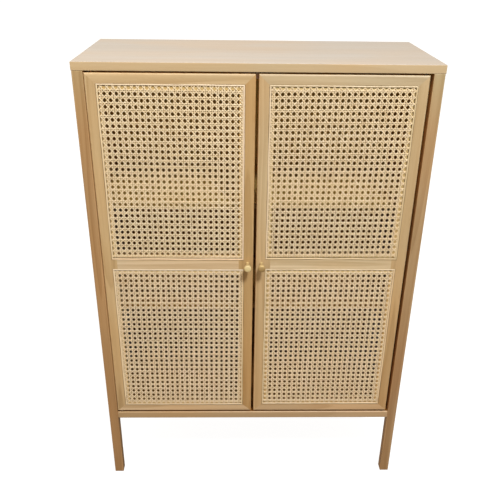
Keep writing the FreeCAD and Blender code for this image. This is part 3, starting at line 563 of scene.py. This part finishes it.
def reeds(name, rect, tints, painted_shade, rail_side_shade, body, stands_for):
    """Four mitred lengths of reed pressed into the groove round a cane panel, with painted shade on their flanks: the
    bottom length along the rail, the lengths listed in the fourth argument along the cane;
    the fifth argument shades the bottom length more widely along the rail instead."""
    x0, x1, z0, z1 = rect
    verts, faces, coords, colour = [], [], [], []
    for side in range(4):
        along0, along1 = (x0, x1) if side < 2 else (z0, z1)
        n = 40
        length = along1 - along0
        sway, lift, girth = wave(length, 0.16, 260, 70), wave(length, 0.07, 220, 50), wave(length, 0.03, 150, 40)
        base = len(verts)
        which = rng.uniform(0, 50)
        shift = rng.uniform(0, 30)
        for k in range(n + 1):
            t = k / n
            calm = min(1.0, 6 * t, 6 * (1 - t))
            dist = t * length
            for across, high in REED_SECTION:
                a = 2.55 + (across - 2.55) * (1 + float(girth(dist)) * calm) + float(sway(dist)) * calm
                h = high + (float(lift(dist)) * calm if high > -2 else 0.0)
                u = along0 + across + 0.04 + t * (length - 2 * across - 0.08)
                p = {0: (u, FACE_Y - h, z0 + a), 1: (u, FACE_Y - h, z1 - a),
                     2: (x0 + a, FACE_Y - h, u), 3: (x1 - a, FACE_Y - h, u)}[side]
                verts.append(p)
                coords.append((dist * MM + shift, (across - 2.55) / 2.3, which))
                # painted shade on the bottom length's flank towards the rail, and on the flank towards the cane for
                # the listed lengths
                flank_shade = np.interp(across, (0.5, 0.8, 1.3, 1.9), (0.42, 0.45, 0.75, 1.0)) if side == 0 else 1.0
                flank_shade *= np.interp(across, (3.6, 4.2, 4.5), (1.0, 0.70, 0.55)) if side in painted_shade else 1.0
                if side == 0 and rail_side_shade:
                    flank_shade = np.interp(across, (0.5, 1.0, 2.4, 3.2), (0.36, 0.42, 0.48, 1.0))
                colour.append((*(flank_shade * np.array(tints[side])), 1.0))
        m = len(REED_SECTION)
        for k in range(n):
            for q in range(m):
                r = (q + 1) % m
                faces.append([base + k * m + q, base + k * m + r, base + (k + 1) * m + r, base + (k + 1) * m + q])
        faces.append([base + q for q in range(m)])
        faces.append([base + n * m + q for q in reversed(range(m))])
    return attach(name, verts, faces, REED, body, stands_for, 50.0,
                  [("cane", "FLOAT_VECTOR", np.array(coords)), ("tint", "FLOAT_COLOR", np.array(colour))])


# ---------------------------------------------------------------- cane

PAIR, STRAND, DIAGONAL = 1.72, 1.80, 2.08  # half the spacing of a pair, width of a strand, width of a diagonal
SHEET_Y = FACE_Y + 0.5


def cane_panel(name, rect, origin, across, upward, tint, body, stands_for):
    """Six-way woven cane. Round eyes lie at whole steps of across and upward from origin;
    pairs of strands run both ways between them and single strands run on both diagonals."""
    x0, x1 = rect[0] + REED_WIDE - 0.7, rect[1] - REED_WIDE + 0.7
    z0, z1 = rect[2] + REED_WIDE - 0.7, rect[3] - REED_WIDE + 0.7
    basis = np.array([across, upward], float)  # rows: one step in s, one step in t
    back = np.linalg.inv(basis)
    origin = np.array(origin, float)
    corners = (np.array([(x0, z0), (x1, z0), (x0, z1), (x1, z1)]) - origin) @ back
    s0, t0 = corners.min(0) - 0.3
    s1, t1 = corners.max(0) + 0.3
    ds, dt = PAIR / np.linalg.norm(across), PAIR / np.linalg.norm(upward)
    strands = []  # (start, direction, knots, heights, width, side towards an eye)
    for i in range(math.floor(s0) - 1, math.ceil(s1) + 1):
        for a in (-1, 1):
            s = i + 0.5 + a * ds
            knots, high = [], []
            for j in range(math.floor(t0) - 1, math.ceil(t1) + 2):
                knots += [j, j + 0.5 - dt, j + 0.5 + dt]
                high += [0.0, -a * 0.26, a * 0.26]
            strands.append(((s, 0.0), (0.0, 1.0), knots, high, STRAND, -a))
    for j in range(math.floor(t0) - 1, math.ceil(t1) + 1):
        for b in (-1, 1):
            t = j + 0.5 + b * dt
            knots, high = [], []
            for i in range(math.floor(s0) - 1, math.ceil(s1) + 2):
                knots += [i, i + 0.5 - ds, i + 0.5 + ds]
                high += [0.0, b * 0.26, -b * 0.26]
            strands.append(((0.0, t), (1.0, 0.0), knots, high, STRAND, b))
    for k in range(math.floor(s0 - t1) - 1, math.ceil(s1 - t0) + 1):  # rising to the right
        knots, high = [], []
        for h in range(2 * math.floor(s0) - 2, 2 * math.ceil(s1) + 4):
            knots += [h / 2, h / 2 + 0.25]
            high += [-0.50 if h % 2 else 0.50, 0.0]
        strands.append(((0.0, -(k + 0.5)), (1.0, 1.0), knots, high, DIAGONAL, 0))
    for k in range(math.floor(s0 + t0) - 1, math.ceil(s1 + t1) + 1):  # falling to the right
        knots, high = [], []
        for h in range(2 * math.floor(s0) - 2, 2 * math.ceil(s1) + 4):
            knots += [h / 2, h / 2 + 0.25]
            high += [0.50 if h % 2 else -0.50, 0.0]
        strands.append(((0.0, k + 0.5), (1.0, -1.0), knots, high, DIAGONAL, 0))

    section = np.array([(-0.5, -0.22), (-0.41, 0.14), (0.0, 0.36), (0.41, 0.14), (0.5, -0.22)])
    span = np.append(section, section[:1], axis=0)
    girth = np.concatenate([[0], np.cumsum(np.linalg.norm(np.diff(span * (2.3, 1.0), axis=0), axis=1))])
    girth /= girth[-1]
    m = len(section)
    verts, faces, coords, uvs, painted_edge_lights, shades = [], [], [], [], [], []
    count = 0
    made = []
    for start, way, knots, high, wide, eye in strands:
        start, way = np.array(start), np.array(way)
        p0, d = origin + start @ basis, way @ basis
        lo, hi = -1e9, 1e9  # where the strand is inside the panel
        for c, (a, b) in enumerate(((x0, x1), (z0, z1))):
            if abs(d[c]) < 1e-9:
                if not a < p0[c] < b:
                    hi = -1e9
                continue
            u, v = sorted(((a - p0[c]) / d[c], (b - p0[c]) / d[c]))
            lo, hi = max(lo, u), min(hi, v)
        step = np.linalg.norm(d)
        if (hi - lo) * step < 6.5:
            continue
        knots, high = np.array(knots, float), np.array(high, float)
        inside = knots[(knots > lo + 2.8 / step) & (knots < hi - 2.8 / step)]
        ends = np.concatenate([lo + np.array([0, 0.45, 1.1, 2.4]) / step, hi - np.array([2.4, 1.1, 0.45, 0]) / step])
        u = np.unique(np.concatenate([inside, ends]))
        made.append((p0, d, step, u, np.interp(u, knots, high), wide, eye))
    total = len(made)
    longest = max((u[-1] - u[0]) * step for _, _, step, u, _, _, _ in made)
    for p0, d, step, u, high, wide, eye in made:
        n = len(u)
        dist = (u - u[0]) * step
        side = np.array([-d[1], d[0]]) / step
        single = eye == 0
        sway = wave(dist[-1], 0.16 if single else 0.13, 160, 34)(dist) + rng.normal(0, 0.10 if single else 0.07)
        grow = 1 + wave(dist[-1], 0.05, 120, 25)(dist) + rng.normal(0, 0.035)
        tilt = wave(dist[-1], 0.05, 90, 20)(dist)
        centre = p0 + u[:, None] * d + sway[:, None] * side
        centre[:, 0] = np.clip(centre[:, 0], x0, x1)
        centre[:, 1] = np.clip(centre[:, 1], z0, z1)
        rim = np.minimum.reduce([centre[:, 0] - x0, x1 - centre[:, 0], centre[:, 1] - z0, z1 - centre[:, 1]])
        dip = np.clip(1 - rim / 1.1, 0, 1) ** 1.6 * 1.2
        dip = np.maximum(dip, np.clip(1 - (centre[:, 1] - z0) / 2.8, 0, 1) ** 1.3 * 2.3)
        y = SHEET_Y - high + dip
        ring = np.zeros((n, m, 3))
        across_mm = section[:, 0] * wide * grow[:, None]
        ring[:, :, 0] = centre[:, :1] + across_mm * side[0]
        ring[:, :, 2] = centre[:, 1:] + across_mm * side[1]
        ring[:, :, 1] = y[:, None] - section[:, 1] - tilt[:, None] * section[:, 0] * 2
        base = len(verts) and sum(len(v) for v in verts)
        verts.append(ring.reshape(-1, 3))
        q, r = np.meshgrid(np.arange(n - 1), np.arange(m), indexing="ij")
        nxt = (r + 1) % m
        quad = np.stack([q * m + r, q * m + nxt, (q + 1) * m + nxt, (q + 1) * m + r], -1).reshape(-1, 4) + base
        faces.append(quad)
        across_uv = (count + 0.06 + 0.88 * girth) / total
        v = 0.004 + 0.992 * dist / longest
        uv = np.stack([
            np.stack([across_uv[r], v[q]], -1), np.stack([across_uv[r + 1], v[q]], -1),
            np.stack([across_uv[r + 1], v[q + 1]], -1), np.stack([across_uv[r], v[q + 1]], -1),
        ], 2)
        uvs.append(uv.reshape(-1, 2))
        c = np.zeros((n, m, 3))
        c[:, :, 0] = dist[:, None] * MM + rng.uniform(0, 40)
        c[:, :, 1] = section[:, 0] * 2
        c[:, :, 2] = rng.uniform(0, 50)
        coords.append(c.reshape(-1, 3))
        painted_edge_light = section[:, 0] * 2 * eye if eye else np.abs(section[:, 0]) * 1.2
        painted_edge_lights.append(np.tile(painted_edge_light, n))
        painted_shade = np.interp(centre[:, 1] - z0, (0.6, 2.6), (0.45, 1.0))  # painted shade: strands darker near the panel's lower edge, in the crease by the reed
        shades.append(np.repeat(painted_shade, m))
        count += 1
    ob = attach(
        name, np.concatenate(verts), np.concatenate(faces).tolist(), CANE, body, stands_for, 62.0,
        [("cane", "FLOAT_VECTOR", np.concatenate(coords)), ("painted_edge_light", "FLOAT", np.concatenate(painted_edge_lights)),
         ("tint", "FLOAT_COLOR", np.concatenate(shades)[:, None] * (*tint, 0.0) + (0.0, 0.0, 0.0, 1.0))], repair=False,
    )
    layer = ob.data.uv_layers.new(name="OFBake")
    layer.data.foreach_set("uv", np.concatenate(uvs).astype(np.float32).ravel())
    return ob


# ---------------------------------------------------------------- knobs

KNOB = [(0.0, 4.2), (0.7, 4.25), (1.2, 3.95), (1.9, 3.4), (3.5, 3.1), (5.2, 3.05), (7.0, 3.1), (9.0, 3.6), (11.0, 4.3),
        (14.0, 5.2), (17.0, 6.1), (20.0, 6.9), (23.0, 7.6), (26.0, 8.2), (28.0, 8.55), (29.2, 8.7), (30.4, 8.5), (31.3, 7.9), (31.9, 6.9),
        (32.4, 5.3), (32.75, 3.2), (32.95, 1.0)]


def knob(name, x, z, material, stem, low, high, body, stands_for):
    """A turned knob: lathe profile with a fine bead at the foot and two shallow cut lines.
    stem, low, high: tones of the stem and of the lower and upper edge of the head: painted light and shade over the
    brass."""
    prof = []
    for (d0, r0), (d1, r1) in zip(KNOB, KNOB[1:]):
        for k in range(3):
            f = k / 3
            prof.append((d0 + (d1 - d0) * f, r0 + (r1 - r0) * f))
    prof.append(KNOB[-1])
    p = np.array(prof)
    for _ in range(3):  # soften the joins between the listed points
        q = p.copy()
        q[1:-1] = 0.25 * p[:-2] + 0.5 * p[1:-1] + 0.25 * p[2:]
        p = q
    for centre in (14.4, 26.0):
        p[:, 1] -= 0.12 * np.exp(-(((p[:, 0] - centre) / 0.22) ** 2))
    n = 64
    verts, faces, colour = [], [], []
    for d, r in p:
        head = np.interp(d, (21.0, 28.5), (0.0, 1.0))
        for k in range(n):
            a = 2 * math.pi * k / n
            # where on the head a vertex sits, from lower to upper edge, for the painted tones
            edge = np.interp(r * math.sin(a) / 8.7, (-1.0, 0.3, 0.6, 0.92), (0.0, 0.9, 1.0, 2.0))
            colour.append((*((1 - head) * stem[c] + head * np.interp(edge, (0, 1, 2), (low[c], 1.0, high[c])) for c in range(3)), 1.0))
            verts.append((x + r * math.cos(a), FACE_Y - d, z + r * math.sin(a)))
    for i in range(len(p) - 1):
        for k in range(n):
            j = (k + 1) % n
            faces.append([i * n + k, i * n + j, (i + 1) * n + j, (i + 1) * n + k])
    faces.append([k for k in range(n)])
    tip = len(verts)
    verts.append((x, FACE_Y - 33.0, z))
    colour.append((1.0, 1.0, 1.0, 1.0))
    for k in range(n):
        faces.append([(len(p) - 1) * n + k, (len(p) - 1) * n + (k + 1) % n, tip])
    return attach(name, verts, faces, material, body, stands_for, 60.0, [("tint", "FLOAT_COLOR", np.array(colour))])


# ---------------------------------------------------------------- the cabinet

OAK = np.array(srgb(205, 174, 128))
LEG = np.array(srgb(190, 148, 98)) * (0.90, 0.88, 0.86)
INSIDE = OAK * (0.95, 0.74, 0.42)  # the inner faces: a more saturated, yellower colour than the outside


def inside(p):
    """Colour of an inner face with painted light and shade: dark towards the bottom, brighter in the upper
    compartment.
    """
    at = (220, 530, 560, 690, 800, 830, 860, 1015, 1130)
    tone = ((0.19, 0.21, 0.45, 0.58, 0.66, 1.2, 1.25, 1.38, 1.38), (0.135, 0.15, 0.37, 0.47, 0.56, 1.3, 1.42, 1.95, 2.0),
            (0.07, 0.08, 0.20, 0.26, 0.35, 1.0, 1.1, 2.2, 2.4))
    return INSIDE * np.stack([np.interp(p[:, 2], at, t) for t in tone], 1)


TINT = {  # factors on the wood's colour, fitted per piece, so they also carry painted light and shade, such as the top face's pale, cool sheen; reeds: bottom, top, left, right
    "top_panel": (0.947, 0.993, 1.046),
    "top_face_and_sheen": (0.852, 1.06, 1.664),
    "bottom_panel": (0.839, 0.826, 0.844),
    "leg_left": (0.971, 1.023, 1.099),
    "leg_right": (1.01, 1.129, 1.323),
    "shelf_upper": (0.98, 0.9, 0.47),
    "shelf_upper_edge": (0.72, 0.66, 0.38),
    "shelf_lower": (0.5, 0.36, 0.16),
    "shelf_lower_edge": (0.56, 0.4, 0.16),
    "bottom_face_and_shade": (0.4, 0.28, 0.13),
    "door_left_hinge_stile": (0.917, 0.905, 0.846),
    "door_left_knob_stile": (0.818, 0.72, 0.557),
    "door_right_knob_stile": (0.921, 0.914, 0.885),
    "door_right_hinge_stile": (0.943, 0.935, 0.877),
    "door_left_rail_top": (0.959, 0.953, 0.92),
    "door_left_rail_mid": (1.091, 1.168, 1.335),
    "door_left_rail_bottom": (1.079, 1.107, 1.202),
    "door_right_rail_top": (0.863, 0.937, 1.022),
    "door_right_rail_mid": (1.126, 1.278, 1.511),
    "door_right_rail_bottom": (1.109, 1.11, 1.188),
    "door_left_splines_upper": ((1.163, 1.06, 0.966), (0.93, 0.904, 0.871), (1.081, 1.066, 0.978), (1.054, 1.028, 1.05)),
    "door_left_splines_lower": ((0.87, 0.829, 0.744),(0.937, 0.949, 0.962), (1.138, 1.137, 1.08), (1.057, 1.006, 0.845)),
    "door_right_splines_upper": ((0.92, 0.849, 0.68), (0.773, 0.739, 0.629), (1.014, 0.995, 0.957), (0.903, 0.872, 0.732)),
    "door_right_splines_lower": ((0.932, 0.878, 0.77), (0.847, 0.819, 0.735), (1.029, 1.013, 0.9), (1.062, 0.998, 0.88)),
    "door_left_cane_upper": (1.087, 1.037, 1.003),
    "door_left_cane_lower": (1.072, 1.019, 1.017),
    "door_right_cane_upper": (1.037, 0.973, 0.922),
    "door_right_cane_lower": (1.061, 0.998, 0.975),
}
# the top face gets a paler, cooler colour: painted sheen over the wood's own colour
board("top_panel", "X", 0.6, OAK * TINT["top_panel"], BOARD, "board", faced=(2, 1, OAK * TINT["top_face_and_sheen"]), worn=0.15)


def along(axis, at, *tones):
    """A slow change of colour along an axis, as a factor."""
    return lambda p: np.stack([np.interp(p[:, axis], at, [t[k] for t in tones]) for k in range(3)], 1)


def times(colour, change):
    return lambda p: np.asarray(colour) * change(p)


# painted light and shade: the board darker to the left and lighter to the right; its top face darker in a strip just
# behind the front, in the doors' shadow, and darker towards the back
board("bottom_panel", "X", 2.0, times(OAK * TINT["bottom_panel"], along(0, (-300, 300), (0.905, 0.90, 0.865), (1.10, 1.105, 1.15))), BOARD, "board",
      faced=(2, 1, times(OAK * TINT["bottom_face_and_shade"], along(1, (-145, -110, 0, 90, 175), (0.8, 0.64, 0.38), (1, 1, 1), (1, 1, 1), (0.60, 0.56, 0.50), (0.40, 0.36, 0.30)))),
      behind=3.0, rows=(-145, -110, 0, 90))
# painted light and shade along each leg's height: paler near the top, and the right leg darker around 330 mm
LEG_PAINTED_LIGHT = {
    "left": along(2, (1000, 1110), (1, 1, 1), (1.07, 1.16, 1.16)),
    "right": along(2, (150, 330, 560, 1000, 1110), (1.06, 1.05, 1.05), (0.91, 0.86, 0.89), (1.02, 1.02, 1.02), (1, 1, 1), (1.02, 1.15, 1.16)),
}
for side, inner in (("left", 1), ("right", 0)):
    # the inner faces take the painted light and shade of inside()
    board("side_panel_" + side, "Z", 0.5, OAK * 0.97, BOARD, "board", faced=(0, inner, inside))
    for end in ("front", "rear"):
        board(f"leg_{end}_{side}", "Z", 1.0, times(LEG * TINT["leg_" + side], LEG_PAINTED_LIGHT[side]), LEG_WOOD, "leg_wood",
              # the right legs' inner faces are painted lighter: painted light in the gap beside the doors
              faced=(0, inner, LEG * ((1.0, 1.0, 0.9) if inner else (1.4, 1.5, 1.6))))
# the back panel's front face takes the painted light and shade of inside()
board("back_panel", "Z", 0.5, OAK * 0.95, BOARD, "board", 1.0, faced=(1, 0, inside))
# painted shade: the lower shelf much darker than the upper one, and the upper shelf's front edge darker than its top
board("shelf_upper", "X", 1.5, OAK * TINT["shelf_upper_edge"], BOARD, "board", faced=(2, 1, OAK * TINT["shelf_upper"]))
board("shelf_lower", "X", 1.5, OAK * TINT["shelf_lower_edge"], BOARD, "board", faced=(2, 1, OAK * TINT["shelf_lower"]))

# eyes of the weave: one eye, the step to the next one across, the step to the next one up
WEAVE = {
    ("left", "upper"): ((-188.32, 899.60), (13.180, -0.099), (-0.040, 14.105)),
    ("left", "lower"): ((-191.83, 459.59), (13.200, -0.069), (0.139, 14.031)),
    ("right", "upper"): ((179.93, 889.90), (13.115, 0.097), (0.186, 14.033)),
    ("right", "lower"): ((188.48, 461.24), (13.203, 0.028), (-0.015, 13.999)),
}


def ledge(p):
    """The rebate behind the cane is coloured a little yellower."""
    return np.where((np.abs(p[:, 1] - FACE_Y - LEDGE_DEPTH) < 0.05)[:, None], (1.04, 1.02, 0.80), 1.0)


# painted light and shade on the knobs: the left one's stem darker, its head's lower edge lighter and upper edge
# darker; the right one's stem and upper edge painted highlights
KNOB_PAINTED_LIGHT = {
    "left": (BRASS_LEFT, (0.76, 0.70, 0.62), (1.3, 1.3, 1.3), (0.82, 0.82, 0.82)),
    "right": (BRASS_RIGHT, (1.20, 1.36, 1.6), (1.05, 1.0, 0.95), (1.45, 1.65, 1.9)),
}

for side, hinged in (("left", 0), ("right", 1)):
    body = "door_" + side
    panels = {}
    for row in ("upper", "lower"):
        lo, hi = box_mm(f"{body}_splines_{row}")
        panels[row] = (lo[0], hi[0], lo[2], hi[2])
    boxes = {end: box_mm(f"{body}_{'hinge' if k == hinged else 'knob'}_stile") for k, end in enumerate(("a", "b"))}
    rails = {rail: box_mm(f"{body}_rail_{rail}") for rail in ("top", "mid", "bottom")}
    left, right = boxes["a"][0][0], boxes["b"][1][0]
    low, high = rails["bottom"][0][2], rails["top"][1][2]
    in_left, in_right = boxes["a"][1][0], boxes["b"][0][0]
    in_low, in_high = rails["bottom"][1][2], rails["top"][0][2]
    for k, end in enumerate(("a", "b")):
        node = f"{body}_{'hinge' if k == hinged else 'knob'}_stile"
        lo, hi = boxes[end]
        outer, inner = (left, in_left) if k == 0 else (right, in_right)
        ease = (3.0, 0.25, 0.0, 0.0) if k == 0 else (0.25, 3.0, 0.0, 0.0)
        member = frame_member(lo[0], hi[0], lo[2], hi[2], ease, panels.values())
        member = mitred(*member, [((outer, high), (inner, in_high), (inner, high)), ((outer, low), (inner, in_low), (inner, low))])
        # painted light on the stile's outer side face, seen in the gap beside the door
        lit_gap_wall = np.array([abs(q[0] - outer) < 0.05 and q[1] > FACE_Y + 2.9 for q in member[0]])[:, None]
        at = np.array(member[0])
        tint = OAK * TINT[node] * np.where(lit_gap_wall, (1.32, 1.12, 0.78), 1.0) * ledge(at)
        # painted highlight along the left door's rounded edge at the centre gap
        if node == "door_left_knob_stile":
            tint = tint * np.where((np.abs(at[:, 0] - outer) < 1.0)[:, None], (1.2, 1.15, 1.05), 1.0)
        # painted light and shade: the right door's outer stile darker and warmer low down, paler and cooler higher up
        if node == "door_right_hinge_stile":
            tint = tint * along(2, (400, 950), (0.95, 0.87, 0.79), (1.04, 1.11, 1.23))(at)
        wooden(node + ".wood", *member, "Z", tint, WOOD, body, [node], "door_wood")
    for rail, (lo, hi) in rails.items():
        node = f"{body}_rail_{rail}"
        outer, inner = (high, in_high) if rail == "top" else (low, in_low)
        side_ease = 0.25 if rail == "mid" else 0.0
        ease = (side_ease, side_ease, 2.0 if rail == "bottom" else 0.25, 3.0 if rail == "top" else 0.25)
        member = frame_member(lo[0], hi[0], lo[2], hi[2], ease, panels.values())
        if rail != "mid":
            member = mitred(*member, [((left, outer), (in_left, inner), (left, inner)), ((right, outer), (in_right, inner), (right, inner))])
        at = np.array(member[0])
        # painted shade on the bottom rail's underside, and painted light on the top rail's top face in the gap under
        # the top board
        under = (at[:, 2] < low + 0.7) & (rail == "bottom")
        over = (at[:, 2] > high - 0.05) & (at[:, 1] > FACE_Y + 2.9) & (rail == "top")
        tint = OAK * TINT[node] * np.where(under[:, None], (0.50, 0.37, 0.21), 1.0) * np.where(over[:, None], (1.3, 1.1, 0.80), 1.0) * ledge(at)
        painted_shade = (np.abs(at[:, 2] - hi[2]) < 0.05) & (at[:, 1] > FACE_Y + 1.0) & (rail != "top")  # painted shade along the rail's top edge, behind the cane
        tint = tint * np.where(painted_shade[:, None], (0.60, 0.50, 0.36), 1.0)
        # painted shade in the crease where each panel's lower edge meets the rail
        for rect in panels.values():
            groove_edge_shade = (np.abs(at[:, 2] - rect[2]) < 0.05) & (at[:, 0] > rect[0] - 0.1) & (at[:, 0] < rect[1] + 0.1)
            tint = tint * np.where(groove_edge_shade[:, None], (0.82, 0.76, 0.66), 1.0)
        wooden(node + ".wood", *member, "X", tint, WOOD, body, [node], "door_wood")
    for row, rect in panels.items():
        reeds(f"{body}_reed_{row}", rect, TINT[f"{body}_splines_{row}"], (0,) if row == "upper" else (0, 1), row == "lower", body, [f"{body}_splines_{row}"])
        cane_panel(f"{body}_weave_{row}", rect, *WEAVE[side, row], TINT[f"{body}_cane_{row}"], body, [f"{body}_cane_{row}"])
    lo, hi = box_mm("knob_" + side)
    knob(f"knob_{side}.turned", (lo[0] + hi[0]) / 2, (lo[2] + hi[2]) / 2, *KNOB_PAINTED_LIGHT[side], body, ["knob_" + side])

# what stays as it is in CAD gets its finish
for name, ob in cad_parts.items():
    if ob.hide_render:
        continue
    if "dowel" in name:
        finish = DOWEL
    elif "bush" in name:
        finish = BRASS_BUSH
    elif "pivot_pins" in name:
        finish = BURNISHED
    elif "magnet" in name:
        finish = MAGNET
    elif "glide" in name:
        finish = GLIDE
    elif "washer" in name:
        finish = SPACER
    elif "housing" in name:
        finish = PLASTIC
    else:
        finish = STEEL
    ob.data.materials.clear()
    ob.data.materials.append(finish)

# ---------------------------------------------------------------- studio

half = 40.0
floor_mesh = bpy.data.meshes.new("floor")
floor_mesh.from_pydata([(-half, -half, 0), (half, -half, 0), (half, half, 0), (-half, half, 0)], [], [(0, 1, 2, 3)])
floor = bpy.data.objects.new("floor", floor_mesh)
scene.collection.objects.link(floor)
s = Shader("studio_floor")
speckle = s.noise(s.place(), 3.0, 3.0, 0.5)
s.set("Base Color", s.mix(s.span(speckle, 0.3, 0.7), (0.16, 0.16, 0.16), (0.18, 0.18, 0.18)))
s.bsdf.inputs["Roughness"].default_value = 0.9
s.bsdf.inputs["Specular IOR Level"].default_value = 0.1
s.bsdf.inputs["Emission Color"].default_value = (1, 1, 1, 1)
s.bsdf.inputs["Emission Strength"].default_value = 0.94
floor_mesh.materials.append(s.mat)
floor.visible_diffuse = False
floor.visible_glossy = False

world = bpy.data.worlds.new("studio")
scene.world = world
world.use_nodes = True
tree = world.node_tree
tree.nodes.clear()
where = tree.nodes.new("ShaderNodeTexCoord")
split = tree.nodes.new("ShaderNodeSeparateXYZ")
ramp = tree.nodes.new("ShaderNodeValToRGB")
shift = tree.nodes.new("ShaderNodeMapRange")
sky = tree.nodes.new("ShaderNodeBackground")
out = tree.nodes.new("ShaderNodeOutputWorld")
tree.links.new(where.outputs["Generated"], split.inputs[0])
tree.links.new(split.outputs["Z"], shift.inputs["Value"])
shift.inputs["From Min"].default_value = -1.0
shift.inputs["From Max"].default_value = 1.0
tree.links.new(shift.outputs[0], ramp.inputs[0])
ramp.color_ramp.elements[0].position = 0.46
ramp.color_ramp.elements[0].color = (0.20, 0.175, 0.145, 1)
ramp.color_ramp.elements[1].position = 1.0
ramp.color_ramp.elements[1].color = (1.14, 1.01, 0.86, 1)
horizon = ramp.color_ramp.elements.new(0.53)
horizon.color = (0.34, 0.30, 0.25, 1)
tree.links.new(ramp.outputs[0], sky.inputs["Color"])
sides = tree.nodes.new("ShaderNodeMapRange")  # brighter from the left
tree.links.new(split.outputs["X"], sides.inputs["Value"])
for key, value in (("From Min", -1.0), ("From Max", 1.0), ("To Min", 1.4), ("To Max", 0.6)):
    sides.inputs[key].default_value = value
tree.links.new(sides.outputs[0], sky.inputs["Strength"])
tree.links.new(sky.outputs[0], out.inputs[0])


def aim(ob, place, target):
    direction = np.array(target, float) - np.array(place, float)
    z = -direction / np.linalg.norm(direction)
    x = np.cross((0, 0, 1), z)
    x /= np.linalg.norm(x)
    y = np.cross(z, x)
    m = Matrix.Identity(4)
    for r in range(3):
        m[r][0], m[r][1], m[r][2], m[r][3] = x[r], y[r], z[r], place[r]
    ob.matrix_world = m


key_data = bpy.data.lights.new("key", "AREA")
key_data.shape = "DISK"
key_data.size = 0.6
key_data.energy = 149.0
key_data.color = (0.82, 0.89, 1.0)
key = bpy.data.objects.new("key", key_data)
scene.collection.objects.link(key)
aim(key, (0.675, -2.264, 3.61), (0.0, -0.154, 0.7))

# camera: the photograph's viewing point, found by fitting the cabinet's corners
right = (0.99975654, -0.01843813, 0.01212001)
down = (0.00224881, -0.46128353, -0.88724994)
ahead = (0.02194999, 0.88706118, -0.46112976)
camera_data = bpy.data.cameras.new("camera")
camera_data.sensor_width = 36.0
camera_data.lens = 647.81 / 500 * 36.0
camera_data.shift_y = 25.49 / 500
camera = bpy.data.objects.new("camera", camera_data)
scene.collection.objects.link(camera)
pose = Matrix.Identity(4)
for r in range(3):
    pose[r][0], pose[r][1], pose[r][2] = right[r], -down[r], -ahead[r]
    pose[r][3] = (-0.04961, -1.57923, 1.38327)[r]
camera.matrix_world = pose
scene.camera = camera

scene.view_settings.view_transform = "Standard"
scene.view_settings.look = "None"
